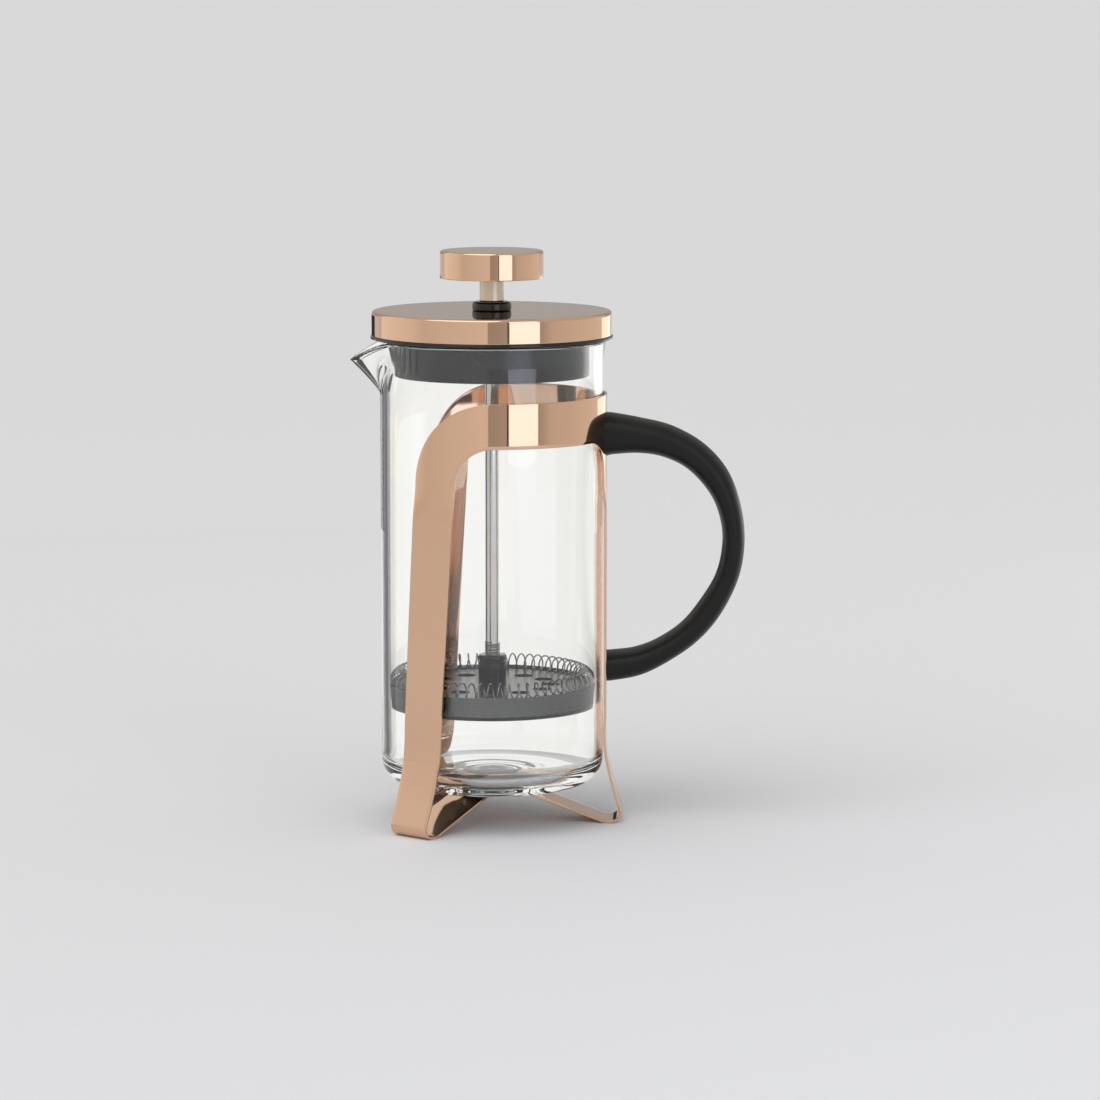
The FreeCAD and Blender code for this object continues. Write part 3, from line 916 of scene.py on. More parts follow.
@dataclass
class CopperFrame:
    """The bent sheet: a band, three legs, three strips and the hub.

    Attributes:
        lathe: Turns the hub.
        finishes: The press's finishes.
        beaker_radius: The radius of the glass that the band goes round.
        sheet: The sheet's thickness.
        gap: The room between the sheet and the glass.
        band_height: The band's height.
        leg_width: The width of a leg.
        inner_round: The radius of the inner corners in the flat sheet.
        outer_round: The radius of the outer corners in the flat sheet.
        side_azimuth: Where the side legs' feet are, in degrees from the handle.
        lean: How far the side legs lean towards the spout, in degrees about the axis.
        rows: The steps across the sheet.
        flat_below_top: The height over which a leg turns from curved to flat.
        waist_z: The height of a leg's slight waist.
        waist: How deep it is.
        waist_length: How far it reaches up and down.
        flare_top: The height where a leg starts to spread.
        flare: How far it spreads over the first millimetre.
        flare_power: How much faster it spreads further down.
        foot_spread: How far the foot stands out.
        foot_bend: The radius of its bend.
        foot_top: The height where the bend starts.
        foot_flat: The length of its flat underside.
        strip_slope: How steeply a strip leaves the foot, in degrees.
        hub_radius: The hub's radius.
        hub_bore: The radius of the hole in it.
        hub_lift: How far it lies above the rivet's lower end.
        strip_lap: How far a strip runs in over it.
        edge: The bevel of the sheet's edges.
    """

    lathe: Lathe
    finishes: Finishes
    beaker_radius: float
    sheet: float = 0.8 * MM
    gap: float = 0.4 * MM
    band_height: float = 13.9 * MM
    leg_width: float = 14.0 * MM
    inner_round: float = 12.0 * MM
    outer_round: float = 26.0 * MM
    side_azimuth: float = 127.0
    lean: float = 10.0
    rows: int = 12
    flat_below_top: float = 11.0 * MM
    waist_z: float = 28.9 * MM
    waist: float = 0.2 * MM
    waist_length: float = 4.0 * MM
    flare_top: float = 24.0 * MM
    flare: float = 0.092 * MM
    flare_power: float = 1.32
    foot_spread: float = 5.0 * MM
    foot_bend: float = 3.75 * MM
    foot_top: float = 4.65 * MM
    foot_flat: float = 1.2 * MM
    strip_slope: float = 21.5
    hub_radius: float = 12.5 * MM
    hub_bore: float = 3.02 * MM
    hub_lift: float = 1.2 * MM
    strip_lap: float = 2.0 * MM
    edge: float = 0.13 * MM

    def __post_init__(self) -> None:
        """Work out the places that follow from the sizes."""
        self.band_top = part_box("frame")[1].z
        self.leg_top = self.band_top - self.band_height - self.inner_round
        self.hub_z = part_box("hub_rivet")[0].z + self.hub_lift
        self.outer = self.beaker_radius + self.gap + self.sheet
        self.half = self.leg_width / 2

    def _line(self, start: Point, end: Point) -> list[Vector]:
        """Points between the edges of the flat sheet, wrapped round the beaker.

        Args:
            start: The line's lower end, as a length round the band and a height.
            end: Its upper end.

        Returns:
            The points.
        """
        spots = [start, *straight(start, end, self.rows)]
        return [Vector((self.lathe.axis_x + self.outer * math.cos(length / self.outer),
                        self.outer * math.sin(length / self.outer), z)) for length, z in spots]

    def _band_lines(self) -> list[list[Vector]]:
        """Draw the lines across the band, from over the handle to the top of a side leg.

        Returns:
            The lines, each from the sheet's lower edge to its upper one.
        """
        near = self.half + self.inner_round
        far = self.outer * math.radians(self.side_azimuth - self.lean) - near
        bottom = self.leg_top + self.inner_round
        low_edge = [(0.0, self.leg_top)]
        low_edge += straight((0.0, self.leg_top), (self.half, self.leg_top), self.rows // 2)
        low_edge += arc((near, self.leg_top), self.inner_round, 180, 90, 12)
        low_edge += straight((near, bottom), (far, bottom), 24)
        lines = [self._line(spot, (spot[0], self.band_top)) for spot in low_edge]
        tall = self.band_top - self.leg_top
        for across, up in arc((0.0, 0.0), 1.0, 90, 0, 24):
            lines.append(self._line(
                (far + self.inner_round * across, self.leg_top + self.inner_round * up),
                (far + self.outer_round * across, self.leg_top + tall * up)))
        return lines

    def _path(self) -> list[Point]:
        """Draw the outer face of a leg and its strip, down to the hub.

        Returns:
            The points, each a radius and a height.
        """
        bend = self.foot_bend
        start = self.leg_top - self.flat_below_top
        path = straight((self.outer, self.leg_top), (self.outer, start), 8)
        for _, z in straight((0.0, start), (0.0, self.foot_top - 0.05 * MM), 60):
            dip = self.waist * math.exp(-((z - self.waist_z) / self.waist_length) ** 2)
            drop = max(0.0, self.flare_top - z) / MM
            path.append((self.outer - dip + self.flare * drop ** self.flare_power, z))
        centre = self.outer + self.foot_spread - bend
        flat = centre - self.foot_flat
        path += arc((centre, bend), bend, -2, -90, 11) + [(flat, 0.0)]
        path += arc((flat, bend), bend, -90, -90 - self.strip_slope, 3)
        path += straight(path[-1], (self.hub_radius - self.strip_lap, self.hub_z), 6)
        return path

    def _leg_lines(self, azimuth: float, lean: float) -> list[list[Vector]]:
        """Lines across one leg, from just under the band to the hub.

        Args:
            azimuth: The azimuth of the foot, in degrees.
            lean: How far the leg's top is from that, in degrees.

        Returns:
            The lines, each from the lower azimuth to the higher one.
        """
        lines = []
        for radius, z in self._path():
            share = max(0.0, (z - self.foot_top) / (self.leg_top - self.foot_top))
            turn = Matrix.Rotation(math.radians(azimuth - lean * share), 3, "Z")
            roundness = 1 - ease((self.leg_top - z) / self.flat_below_top)
            line = []
            for row in range(self.rows + 1):
                across = -self.half + self.leg_width * row / self.rows
                angle = across / self.outer
                curved = Vector((radius * math.cos(angle), radius * math.sin(angle), 0))
                point = Vector((radius, across, 0)).lerp(curved, roundness)
                point.rotate(turn)
                line.append(point + Vector((self.lathe.axis_x, 0, z)))
            lines.append(line)
        return lines

    def build(self) -> None:
        """Build the sheet, and the hub's disc that its strips run into."""
        vertices: list[Vector] = []
        faces: list[list[int]] = []
        band = self._band_lines()
        right = band + self._leg_lines(self.side_azimuth, self.lean)
        left = [[Vector((p.x, -p.y, p.z)) for p in line] for line in right]
        middle = self.rows // 2
        top = [line[0] for line in left[middle:0:-1] + right[:middle + 1]]
        handle_leg = [top] + self._leg_lines(0.0, 0.0)
        for lines, flip in ((right, False), (left, True), (handle_leg, True)):
            first, width = len(vertices), len(lines[0])
            vertices += [point for line in lines for point in line]
            for index in range(len(lines) - 1):
                for a in range(first + index * width, first + (index + 1) * width - 1):
                    face = [a, a + width, a + width + 1, a + 1]
                    faces.append(face[::-1] if flip else face)
        source = place("flat_sheet", merged(new_mesh("flat_sheet", vertices, faces), 1e-6))
        wall = source.modifiers.new("wall", "SOLIDIFY")
        wall.thickness = self.sheet
        wall.offset = -1.0
        wall.use_even_offset = True
        edge = source.modifiers.new("edge", "BEVEL")
        edge.width = self.edge
        edge.segments = 3
        edge.limit_method = "ANGLE"
        edge.angle_limit = math.radians(50)
        copper = (self.finishes.copper, Slot.COPPER, Body.FRAME)
        dress("copper_frame", smooth(applied(source, "copper_frame"), 35.0), *copper, "frame")
        low, high = self.hub_z - 0.02 * MM, self.hub_z + self.sheet
        self.lathe.piece("frame_hub", 3, [
            (self.hub_bore, low, 0), (self.hub_radius, low, self.edge * 2),
            (self.hub_radius, high, self.edge * 2), (self.hub_bore, high, 0)], *copper)


# ---------------------------------------------------------------- the handle


@dataclass
class Handle:
    """The D-shaped handle, an oval bar that hugs the frame at both ends.

    Attributes:
        lathe: Holds the beaker's axis.
        finishes: The press's finishes.
        frame_outer: The radius of the frame's outside.
        stations: Outer edge then inner edge, as reach from the frame in millimetres and share
            of the handle's height.
        hug_reach: How far from the frame it still follows the frame, in millimetres.
        oval: The exponent of the section: 2 is an ellipse, and more is squarer.
        around: The steps round a section.
    """

    lathe: Lathe
    finishes: Finishes
    frame_outer: float
    stations: tuple = (
        (0.0, 1.000, 0.0, 0.840), (2.2, 0.998, 2.2, 0.846), (10.2, 0.981, 10.2, 0.851),
        (20.3, 0.951, 17.8, 0.836), (30.3, 0.884, 25.3, 0.791), (37.8, 0.783, 32.0, 0.703),
        (41.9, 0.650, 35.2, 0.612), (43.0, 0.515, 36.0, 0.515), (41.0, 0.380, 34.0, 0.400),
        (35.3, 0.245, 28.5, 0.291), (27.8, 0.144, 22.8, 0.212), (17.8, 0.063, 15.3, 0.153),
        (10.2, 0.021, 8.5, 0.123), (2.2, 0.002, 2.2, 0.113), (0.0, 0.000, 0.0, 0.111),
    )
    hug_reach: float = 6.0
    oval: float = 2.35
    around: int = 48

    def _section(self, outer: Vector, inner: Vector, half_width: float,
                 hug: float) -> list[Vector]:
        """One oval section.

        Args:
            outer: The middle of its outer edge, with the beaker's axis at zero.
            inner: The middle of its inner edge.
            half_width: Half the handle's width.
            hug: How closely it follows the round band, from 0 to 1.

        Returns:
            Its points.
        """
        middle, thick = (outer + inner) / 2, (outer - inner) / 2
        points = []
        for step in range(self.around):
            angle = TURN * step / self.around
            along, across = (math.copysign(abs(part) ** (2 / self.oval), part)
                             for part in (math.cos(angle), math.sin(angle)))
            point = middle + thick * along + Vector((0, half_width * across, 0))
            sag = self.frame_outer - math.sqrt(self.frame_outer ** 2 - point.y ** 2)
            points.append(point + Vector((self.lathe.axis_x - sag * hug, 0, 0)))
        return points

    def build(self) -> None:
        """Build the handle. Its upper end follows the round band, and its lower end is flat."""
        low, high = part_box("handle")
        path = spline(self.stations, 8)
        vertices: list[Vector] = []
        for index, station in enumerate(path):
            outer, inner = (Vector((self.frame_outer + reach * MM, 0,
                                    low.z + (high.z - low.z) * share))
                            for reach, share in (station[:2], station[2:]))
            hug = 1 - ease(station[0] / self.hug_reach) if index < len(path) / 2 else 0.0
            vertices += self._section(outer, inner, (high.y - low.y) / 2, hug)
        last = (len(path) - 1) * self.around
        faces = [[first + step, first + (step + 1) % self.around,
                  first + (step + 1) % self.around + self.around, first + step + self.around]
                 for first in range(0, last, self.around) for step in range(self.around)]
        faces += [list(range(self.around))[::-1], list(range(last, last + self.around))]
        mesh = merged(new_mesh("d_handle", vertices, faces), 1e-7)
        dress("d_handle", smooth(mesh, 50.0), self.finishes.handle, Slot.HANDLE, Body.FRAME,
              "handle")


# ---------------------------------------------------------------- the lid


@dataclass
class Lid:
    """The copper cap, its black liner with strainer slots, and the bushing.

    Attributes:
        lathe: Turns the outlines.
        finishes: The press's finishes.
        sheet: The cap's thickness.
        cap_round: The radius of the cap's top edge.
        bore: The radius of the hole in the cap and the liner.
        liner_wall: The skirt's thickness.
        liner_top: The thickness of the liner's top.
        liner_gap: The room between the liner and the cap.
        skirt_radius: The skirt's radius.
        flange: The thickness of the flange on the rim.
        slot_count: The strainer slots.
        slot_width: The width of a slot.
        slot_height: Its height.
        slot_margin: How far it starts below the rim.
        slot_pitch: The angle between slots, in degrees.
        neck: The radius of the bushing's neck.
        rod_bore: The radius of the hole for the rod.
    """

    lathe: Lathe
    finishes: Finishes
    sheet: float = 0.8 * MM
    cap_round: float = 1.1 * MM
    bore: float = 5.05 * MM
    liner_wall: float = 1.8 * MM
    liner_top: float = 2.5 * MM
    liner_gap: float = 0.2 * MM
    skirt_radius: float = 30.4 * MM
    flange: float = 1.0 * MM
    slot_count: int = 16
    slot_width: float = 1.2 * MM
    slot_height: float = 8.0 * MM
    slot_margin: float = 1.5 * MM
    slot_pitch: float = 6.0
    neck: float = 5.0 * MM
    rod_bore: float = 2.23 * MM

    def build_cap(self) -> None:
        """Build the copper cap."""
        radius, low, high = round_box("lid_cap")
        inner, roof = radius - self.sheet, high - self.sheet
        self.lathe.piece("lid_cap_shell", 8, [
            (self.bore, roof, 0.1 * MM), (inner, roof, 0.3 * MM), (inner, low, 0.15 * MM),
            (radius, low, 0.3 * MM), (radius, high, self.cap_round),
            (self.bore, high, 0.2 * MM)], self.finishes.copper, Slot.COPPER, Body.LID, "lid_cap")

    def build_liner(self) -> None:
        """Build the liner, and cut its strainer slots."""
        flange, low, high = round_box("lid_liner")
        outer = round_box("lid_cap")[0] - self.sheet - self.liner_gap
        inner = self.skirt_radius - self.liner_wall
        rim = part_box("glass_beaker")[1].z
        step, plate = rim + self.flange, high - self.liner_top
        blank = self.lathe.turn("liner_blank", rounded([
            (self.bore, plate, 0.1 * MM), (inner, plate, 1.2 * MM), (inner, low, 0.5 * MM),
            (self.skirt_radius, low, 0.5 * MM), (self.skirt_radius, rim, 0.8 * MM),
            (flange, rim, 0.35 * MM), (flange, step, 0.35 * MM), (outer, step, 0.1 * MM),
            (outer, high, 0.8 * MM), (self.bore, high, 0.2 * MM)], 5))
        tree = PieceTree("strainer_slots", {
            "Slots": self.slot_count, "Width": self.slot_width, "Height": self.slot_height,
            "Depth": 3 * self.liner_wall, "Pitch": math.radians(self.slot_pitch),
            "Radius": inner + self.liner_wall / 2,
            "Middle": rim - self.slot_margin - self.slot_height / 2, "Axis": self.lathe.axis_x})
        angle = (tree.index() - (tree.size("Slots") - 1) / 2) * tree.size("Pitch") + math.pi
        radius = tree.size("Radius")
        spot = tree.vector(tree.size("Axis") + radius * tree.maths("COSINE", angle),
                           radius * tree.maths("SINE", angle), tree.size("Middle"))
        points = tree.out("GeometryNodePoints", {"Count": tree.size("Slots"), "Position": spot})
        block = tree.vector(tree.size("Depth"), tree.size("Width"), tree.size("Height"))
        cutters = tree.out("GeometryNodeInstanceOnPoints", {
            "Points": points, "Instance": tree.out("GeometryNodeMeshCube", {"Size": block}),
            "Rotation": tree.vector(0.0, 0.0, angle)})
        real = tree.out("GeometryNodeRealizeInstances", {"Geometry": cutters})
        cut = tree.out("GeometryNodeMeshBoolean", {
            "Mesh 1": tree.start.outputs["Geometry"], "Mesh 2": real}, operation="DIFFERENCE")
        mesh = tree.grow("lid_liner_skirt", cut, self.finishes.liner, blank)
        dress("lid_liner_skirt", smooth(merged(mesh, 1e-7)), self.finishes.liner, Slot.LINER,
              Body.LID, "lid_liner")

    def build_bushing(self) -> None:
        """Build the bushing: a round grommet on the lid with a neck through it."""
        head, low, high = round_box("rod_bushing")
        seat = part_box("lid_cap")[1].z + 0.05 * MM
        self.lathe.piece("rod_grommet", 8, [
            (self.rod_bore, low, 0.1 * MM), (self.neck, low, 0.2 * MM),
            (self.neck, seat, 0.05 * MM), (head, seat, 1.25 * MM), (head, high, 1.3 * MM),
            (self.rod_bore, high, 0.4 * MM)],
            self.finishes.liner, Slot.LINER, Body.GUIDE, "rod_bushing")

    def build(self) -> None:
        """Build every piece of the lid."""
        self.build_cap()
        self.build_liner()
        self.build_bushing()
        repaint(self.finishes.steel, "bushing_retainer")


# ---------------------------------------------------------------- the plunger


@dataclass
class Plunger:
    """The knob, the rod with its thread, and the filter with its coil and screen.

    Attributes:
        lathe: Turns the outlines.
        finishes: The press's finishes.
        knob_sheet: The thickness of the knob's skin.
        knob_round: The radius of its top edge.
        rod_bore: The radius of the holes for the rod.
        thread_pitch: The rod thread's pitch.
        thread_length: The length of thread that is modelled.
        thread_hidden: How much of that is inside the nut.
        thread_wire: The radius of the wire that makes it.
        thread_steps: The steps in a turn of it.
        coil_turns: The turns of the coil round the filter.
        coil_wire: The radius of its wire.
        coil_steps: The steps in a turn of it.
        weave_pitch: The spacing of the screen's wires.
        weave_wire: The radius of those wires.
        weave_wave: How far they go over and under each other.
        weave_steps: The points along one of them.
        screen_inset: How far the woven disc stops inside the screen's wall.
        screen_drop: How far it lies below the plate.
        wall_thick: The thickness of the sheet that backs the screen's wall.
        rim_wires: The uprights in that wall.
        wall_rings: The hoops in it.
        wall_taper: How much narrower it is at the bottom.
        nut_groove: Where the nut's groove is, as a share of its height.
        nut_seam: Where its collar starts, in the same way.
        nut_waist: How deep the groove is.
    """

    lathe: Lathe
    finishes: Finishes
    knob_sheet: float = 0.6 * MM
    knob_round: float = 1.0 * MM
    rod_bore: float = 2.15 * MM
    thread_pitch: float = 0.8 * MM
    thread_length: float = 4.6 * MM
    thread_hidden: float = 0.6 * MM
    thread_wire: float = 0.33 * MM
    thread_steps: int = 28
    coil_turns: int = 64
    coil_wire: float = 0.25 * MM
    coil_steps: int = 18
    weave_pitch: float = 1.15 * MM
    weave_wire: float = 0.16 * MM
    weave_wave: float = 0.12 * MM
    weave_steps: int = 90
    screen_inset: float = 1.0 * MM
    screen_drop: float = 0.2 * MM
    wall_thick: float = 0.15 * MM
    rim_wires: int = 216
    wall_rings: int = 8
    wall_taper: float = 0.5 * MM
    nut_groove: float = 0.77
    nut_seam: float = 0.48
    nut_waist: float = 0.4 * MM

    def build_stem(self) -> None:
        """Build the knob's copper skin, the satin sleeve under it and the rod."""
        radius, low, high = round_box("knob_cap")
        inner, roof = radius - self.knob_sheet, high - self.knob_sheet
        self.lathe.piece("knob_skin", 8, [
            (0, roof, 0), (inner, roof, 0.3 * MM), (inner, low, 0.1 * MM),
            (radius, low, 0.5 * MM), (radius, high, self.knob_round), (0, high, 0)],
            self.finishes.copper, Slot.COPPER, Body.PLUNGER, "knob_cap")
        radius, low, high = round_box("stem_sleeve")
        self.lathe.piece("stem_tube", 4, [
            (self.rod_bore, low, 0.1 * MM), (radius, low, 0.35 * MM), (radius, high, 0.2 * MM),
            (self.rod_bore, high, 0.1 * MM)],
            self.finishes.sleeve, Slot.STEEL, Body.PLUNGER, "stem_sleeve")
        radius, low, high = round_box("plunger_rod")
        self.lathe.piece("plunger_stem", 4, [
            (0, low, 0), (radius, low, 0.3 * MM), (radius, high, 0.3 * MM), (0, high, 0)],
            self.finishes.steel, Slot.STEEL, Body.PLUNGER, "plunger_rod")

    def build_thread(self) -> None:
        """Build the thread that shows above the nut, as a helix of fine wire round the rod."""
        turns = self.thread_length / self.thread_pitch
        tree = PieceTree("rod_thread", {
            "Turns": turns, "Pitch": self.thread_pitch, "Radius": round_box("plunger_rod")[0],
            "Wire": self.thread_wire, "Axis": self.lathe.axis_x,
            "Start": round_box("filter_lock_nut")[2] - self.thread_hidden,
            "Points": int(turns * self.thread_steps)})
        share = tree.index() / (tree.size("Points") - 1)
        angle = share * tree.size("Turns") * 2 * math.pi
        reach = tree.size("Radius")
        wire = tree.wire(
            6, False, tree.size("Axis") + reach * tree.maths("COSINE", angle),
            reach * tree.maths("SINE", angle),
            tree.size("Start") + share * tree.size("Turns") * tree.size("Pitch"))
        dress("rod_thread", tree.grow("rod_thread", wire, self.finishes.wire),
              self.finishes.wire, Slot.STEEL, Body.PLUNGER)

    def build_coil(self) -> None:
        """Build the wire coil that seals the filter against the glass."""
        radius, low, high = round_box("coil_spring")
        small = (high - low) / 2
        tree = PieceTree("filter_coil", {
            "Turns": self.coil_turns, "Axis": self.lathe.axis_x,
            "Points": self.coil_turns * self.coil_steps,
            "Middle": (high + low) / 2, "Ring": radius - small,
            "Loop": small - self.coil_wire, "Wire": self.coil_wire})
        around = tree.index() / tree.size("Points") * 2 * math.pi
        twist = around * tree.size("Turns")
        reach = tree.size("Ring") + tree.size("Loop") * tree.maths("COSINE", twist)
        wire = tree.wire(
            7, True, tree.size("Axis") + reach * tree.maths("COSINE", around),
            reach * tree.maths("SINE", around),
            tree.size("Middle") + tree.size("Loop") * tree.maths("SINE", twist))
        dress("coil_wire", tree.grow("coil_wire", wire, self.finishes.wire),
              self.finishes.wire, Slot.WIRE, Body.PLUNGER, "coil_spring")

    def build_screen(self, direction: str, wave: float) -> None:
        """Build the woven screen's wires one way, over and under those the other way.

        Args:
            direction: "along" for wires along X, or "across".
            wave: How far a wire goes up and down.
        """
        radius = round_box("filter_mesh")[0] - self.screen_inset
        tree = PieceTree("screen_" + direction, {
            "Wires": int(2 * radius / self.weave_pitch), "Pitch": self.weave_pitch,
            "Radius": radius, "Wire": self.weave_wire, "Points": self.weave_steps,
            "Middle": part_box("spiral_plate")[0].z - self.screen_drop,
            "Axis": self.lathe.axis_x, "Wave": wave})
        offset = (tree.index() - (tree.size("Wires") - 1) / 2) * tree.size("Pitch")
        rows = tree.out("GeometryNodePoints", {
            "Count": tree.size("Wires"), "Position": tree.vector(0.0, offset)})
        wires = tree.out("GeometryNodeInstanceOnPoints", {
            "Points": rows, "Instance": tree.resample(Start=(-1.0, 0, 0), End=(1.0, 0, 0))})
        real = tree.out("GeometryNodeRealizeInstances", {"Geometry": wires})
        here = tree.node("ShaderNodeSeparateXYZ", {0: tree.out("GeometryNodeInputPosition")})
        share, side = (Value(tree, here.outputs[part]) for part in (0, 1))
        run = share * tree.maths("SQRT", tree.maths(
            "MAXIMUM", tree.size("Radius") ** 2.0 - side * side, 0.0))
        phase = (run + side) / tree.size("Pitch") * math.pi
        height = tree.size("Middle") + tree.size("Wave") * tree.maths("COSINE", phase)
        x, y = (run, side) if direction == "along" else (side, run)
        moved = tree.move(real, x + tree.size("Axis"), y, height)
        name = "screen_wires_" + direction
        dress(name, tree.grow(name, tree.sweep(moved, 4), self.finishes.screen),
              self.finishes.screen, Slot.WIRE, Body.PLUNGER)

    def build_wall(self) -> None:
        """Build the screen's turned-up wall: a thin backing, hoops, and uprights between them."""
        top, low, high = round_box("filter_mesh")
        steps = self.wall_rings - 1
        line = [(top - self.wall_taper * (1 - i / steps), low + (high - low) * i / steps)
                for i in range(self.wall_rings)]
        outside = [(r - 1.6 * self.weave_wire, z) for r, z in line]
        inside = [(r - self.wall_thick, z) for r, z in reversed(outside)]
        dress("screen_wall", self.lathe.turn("screen_wall", outside + inside),
              self.finishes.screen, Slot.WIRE, Body.PLUNGER, "filter_mesh")
        vertices, edges = [], []
        for ring, (radius, z) in enumerate(line):
            for step in range(self.rim_wires):
                angle = TURN * step / self.rim_wires
                over = 0.5 if (ring + step) % 2 else -0.5
                reach = radius + self.weave_wire * (over - 0.7)
                vertices.append((self.lathe.axis_x + reach * math.cos(angle),
                                 reach * math.sin(angle), z))
                here = ring * self.rim_wires + step
                edges.append((here, ring * self.rim_wires + (step + 1) % self.rim_wires))
                if ring < steps:
                    edges.append((here, here + self.rim_wires))
        tree = PieceTree("wall_wires", {"Wire": 0.75 * self.weave_wire})
        lines = tree.out("GeometryNodeMeshToCurve", {"Mesh": tree.start.outputs["Geometry"]})
        mesh = tree.grow("wall_wires", tree.sweep(lines, 4), self.finishes.screen,
                         new_mesh("wall_net", vertices, [], edges))
        dress("wall_wires", mesh, self.finishes.screen, Slot.WIRE, Body.PLUNGER)

    def build_nut(self) -> None:
        """Build the black nut over the filter, with its groove and round collar."""
        radius, low, high = round_box("filter_lock_nut")
        bore, fine, soft = self.rod_bore, 0.12 * MM, 0.15 * MM
        groove, seam = (low + (high - low) * share
                        for share in (self.nut_groove, self.nut_seam))
        waist = radius - self.nut_waist
        self.lathe.piece("filter_nut", 5, [
            (bore, low, 0), (radius - fine, low, fine), (radius - fine, seam, fine),
            (radius, seam + 2 * fine, fine), (radius, groove, soft),
            (waist, groove + fine, soft), (waist, groove + 0.5 * MM, soft),
            (radius, groove + 0.6 * MM, 0.3 * MM), (radius, high, 0.9 * MM),
            (bore, high, soft)],
            self.finishes.liner, Slot.LINER, Body.PLUNGER, "filter_lock_nut")

    def build(self) -> None:
        """Build every piece of the plunger."""
        self.build_stem()
        self.build_thread()
        self.build_coil()
        self.build_screen("along", self.weave_wave)
        self.build_screen("across", -self.weave_wave)
        self.build_wall()
        self.build_nut()
        repaint(self.finishes.liner, "knob_core", "filter_base")
        repaint(self.finishes.steel, "knob_insert")
        repaint(self.finishes.plate, "spiral_plate")


# ---------------------------------------------------------------- the studio


@dataclass(frozen=True)
class Card:
    """A curved card that stands round the press, out of the camera's sight.

    Attributes:
        name: Its name.
        azimuths: Where it starts and ends, in degrees from the camera's side.
        distance: Its distance from the axis.
        heights: Its bottom and top.
        radiance: How bright its first and last edges are.
        side: Whether it shows in reflections or through the glass.
    """

    name: str
    azimuths: Point
    distance: float
    heights: Point
    radiance: Point
    side: CardSide = CardSide.REFLECTED


CARDS = (
    Card("camera_side", (-3.0, 15.2), 0.9, (0.0, 0.6), (0.42, 0.48)),
    Card("box_edge", (15.2, 16.8), 0.9, (0.0, 0.6), (0.03, 0.03)),
    Card("handle_front", (46.4, 60.0), 0.9, (0.0, 0.3), (0.44, 0.66)),
    Card("handle_side", (60.0, 129.0), 0.9, (0.0, 0.3), (0.66, 0.83)),
    Card("white_edge", (129.0, 155.0), 0.7, (0.0, 0.12), (1.6, 1.6)),
    Card("dark_edge", (-178.0, -148.0), 0.7, (0.0, 0.12), (0.04, 0.04)),
    Card("spout_side", (-128.0, -82.0), 0.9, (0.0, 0.9), (1.0, 0.86)),
    Card("spout_fade", (-82.0, -66.0), 0.9, (0.0, 0.9), (0.86, 0.71)),
    Card("spout_front", (-66.0, -3.0), 0.9, (0.0, 0.9), (0.71, 0.84)),
    Card("far_wall", (140.0, 220.0), 1.3, (0.13, 0.9), (0.42, 0.42)),
    Card("bright_back", (127.0, 229.0), 0.06, (0.0, 0.17), (0.94, 0.98),
         CardSide.THROUGH_GLASS),
    Card("glass_left", (-131.0, -95.0), 0.06, (0.008, 0.17), (0.03, 0.06),
         CardSide.THROUGH_GLASS),
    Card("glass_right", (105.0, 127.0), 0.06, (0.0, 0.17), (1.3, 1.4),
         CardSide.THROUGH_GLASS),
)


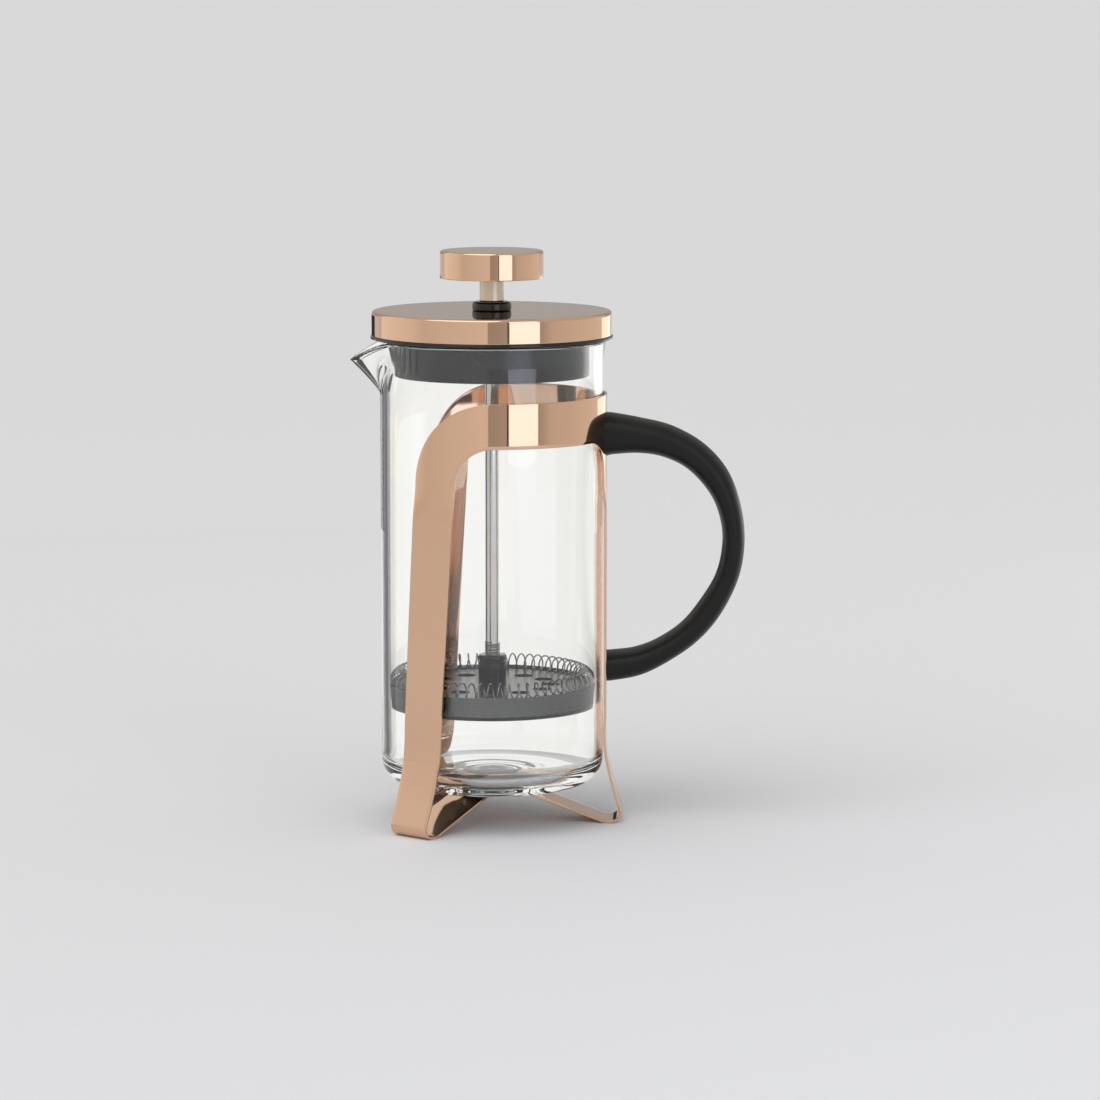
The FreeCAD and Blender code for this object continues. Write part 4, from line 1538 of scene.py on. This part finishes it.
@dataclass
class Studio:
    """The floor, the lights and the camera.

    Attributes:
        axis_x: The beaker's axis.
        distance: How far the camera is from the axis, along the floor.
        height: The camera's height.
        azimuth: How far the camera is turned towards the handle, in degrees.
        aim_across: How far to the right of the axis the camera looks.
        aim_height: The height that it looks at.
        lens: Its focal length in millimetres, on a 36 mm sensor.
        room: How bright the room is.
        room_colour: Its colour.
        key: The strength of the soft sun.
        key_colour: Its colour.
        key_spread: How broad it is, in degrees.
        key_from: Its azimuth, distance and height.
        box: The radiance of the soft box beside the camera.
        box_colour: Its colour.
        box_size: Its width and height.
        box_from: Its azimuth, distance and height.
        card_colour: The cards' colour.
        card_steps: The steps along a card.
        floor_reach: Half the floor's width.
    """

    axis_x: float
    distance: float = 1.327
    height: float = 0.2696
    azimuth: float = 2.0
    aim_across: float = 0.0181
    aim_height: float = 0.0856
    lens: float = 139.9
    room: float = 0.62
    room_colour: tuple = (1.0, 0.985, 0.95, 1)
    key: float = 1.15
    key_colour: tuple = (0.985, 0.99, 1.0)
    key_spread: float = 60.0
    key_from: tuple = (-38.0, 1.0, 1.25)
    box: float = 1.1
    box_colour: tuple = (0.93, 1.0, 1.25)
    box_size: tuple = (0.52, 0.9)
    box_from: tuple = (31.8, 1.0, 0.45)
    card_colour: tuple = (1.0, 0.985, 0.96, 1.0)
    card_steps: int = 16
    floor_reach: float = 60.0

    def spot(self, azimuth: float, distance: float, height: float) -> Vector:
        """A place round the beaker, by degrees from the camera's side towards the handle."""
        turn = math.radians(self.azimuth + azimuth)
        return Vector((self.axis_x + distance * math.sin(turn), -distance * math.cos(turn),
                       height))

    def aim(self, name: str, data: bpy.types.ID, eye: Vector, target: Vector) -> bpy.types.Object:
        """Put a camera or a lamp in the scene.

        Args:
            name: Its name.
            data: The camera or lamp.
            eye: Where it is.
            target: What it faces.

        Returns:
            The object, which the camera doesn't see.
        """
        thing = bpy.data.objects.new(name, data)
        thing.location = eye
        thing.rotation_euler = (target - eye).to_track_quat("-Z", "Y").to_euler()
        thing.visible_camera = False
        bpy.context.scene.collection.objects.link(thing)
        return thing

    def camera(self) -> None:
        """Make the camera."""
        turn = math.radians(self.azimuth)
        across = Vector((math.cos(turn), math.sin(turn), 0))
        back = Vector((math.sin(turn), -math.cos(turn), 0))
        middle = Vector((self.axis_x, 0, 0)) + across * self.aim_across
        data = bpy.data.cameras.new("camera")
        data.lens = self.lens
        data.sensor_width = 36.0
        data.clip_end = 50.0
        bpy.context.scene.camera = self.aim(
            "camera", data, middle + back * self.distance + Vector((0, 0, self.height)),
            middle + Vector((0, 0, self.aim_height)))

    def light(self) -> None:
        """Light the room evenly, and add a broad soft sun and a soft box beside the camera."""
        world = bpy.data.worlds.new("studio")
        world.use_nodes = True
        background = world.node_tree.nodes["Background"]
        background.inputs["Color"].default_value = self.room_colour
        background.inputs["Strength"].default_value = self.room
        bpy.context.scene.world = world
        sun = bpy.data.lights.new("key", "SUN")
        sun.energy = self.key
        sun.angle = math.radians(self.key_spread)
        sun.color = self.key_colour
        self.aim("key", sun, self.spot(*self.key_from), Vector((self.axis_x, 0, 0)))
        box = bpy.data.lights.new("front_box", "AREA")
        box.shape = "RECTANGLE"
        box.size, box.size_y = self.box_size
        box.energy = self.box * math.pi * box.size * box.size_y
        box.color = self.box_colour
        azimuth, _, height = self.box_from
        self.aim("front_box", box, self.spot(*self.box_from), self.spot(azimuth, 0, height))

    def stand(self, card: Card) -> None:
        """Stand a card round the press.

        Args:
            card: The card.
        """
        places = straight((card.azimuths[0], card.radiance[0]),
                          (card.azimuths[1], card.radiance[1]), self.card_steps)
        places.insert(0, (card.azimuths[0], card.radiance[0]))
        vertices = [self.spot(azimuth, card.distance, height)
                    for azimuth, _ in places for height in card.heights]
        faces = [(2 * i, 2 * i + 1, 2 * i + 3, 2 * i + 2) for i in range(self.card_steps)]
        mesh = new_mesh(card.name, vertices, faces)
        glow = mesh.attributes.new("glow", "FLOAT", "POINT")
        glow.data.foreach_set("value", [shine for _, shine in places for _ in card.heights])
        graph = MaterialGraph(card.name + "_face")
        reader = graph.node("ShaderNodeAttribute", attribute_name="glow")
        mesh.materials.append(graph.close({
            "Color": self.card_colour, "Strength": reader.outputs["Fac"]},
            "ShaderNodeEmission"))
        piece = place(card.name, mesh)
        for ray in ("camera", "diffuse", "shadow", "volume_scatter"):
            setattr(piece, "visible_" + ray, False)
        piece.visible_glossy = card.side is CardSide.REFLECTED
        piece.visible_transmission = card.side is CardSide.THROUGH_GLASS

    def floor(self) -> None:
        """Make the floor."""
        far = self.floor_reach
        corners = [(-far, -far, 0), (far, -far, 0), (far, far, 0), (-far, far, 0)]
        mesh = new_mesh("floor", corners, [(0, 1, 2, 3)])
        mesh.materials.append(FloorFinish().build())
        place("floor", mesh)

    def build(self) -> None:
        """Set up the whole studio."""
        scene = bpy.context.scene
        scene.view_settings.view_transform = "Standard"
        scene.cycles.max_bounces = scene.cycles.transmission_bounces = 24
        scene.cycles.glossy_bounces = 12
        self.camera()
        self.floor()
        self.light()
        for card in CARDS:
            self.stand(card)


def main() -> None:
    """Build the press and the studio round it."""
    logging.basicConfig(level=logging.INFO, format="%(name)s: %(message)s")
    low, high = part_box("lid_cap")
    lathe = Lathe((low.x + high.x) / 2)
    finishes = Finishes()
    beaker = Beaker(lathe, finishes)
    beaker.build()
    copper_frame = CopperFrame(lathe, finishes, beaker.radius)
    copper_frame.build()
    Handle(lathe, finishes, copper_frame.outer).build()
    repaint(finishes.steel, "hub_rivet", "handle_insert_upper", "handle_screw_upper",
            "handle_insert_lower", "handle_screw_lower")
    repaint(finishes.pad, "rest_pad")
    Lid(lathe, finishes).build()
    Plunger(lathe, finishes).build()
    Studio(lathe.axis_x).build()


if __name__ == "__main__":
    main()
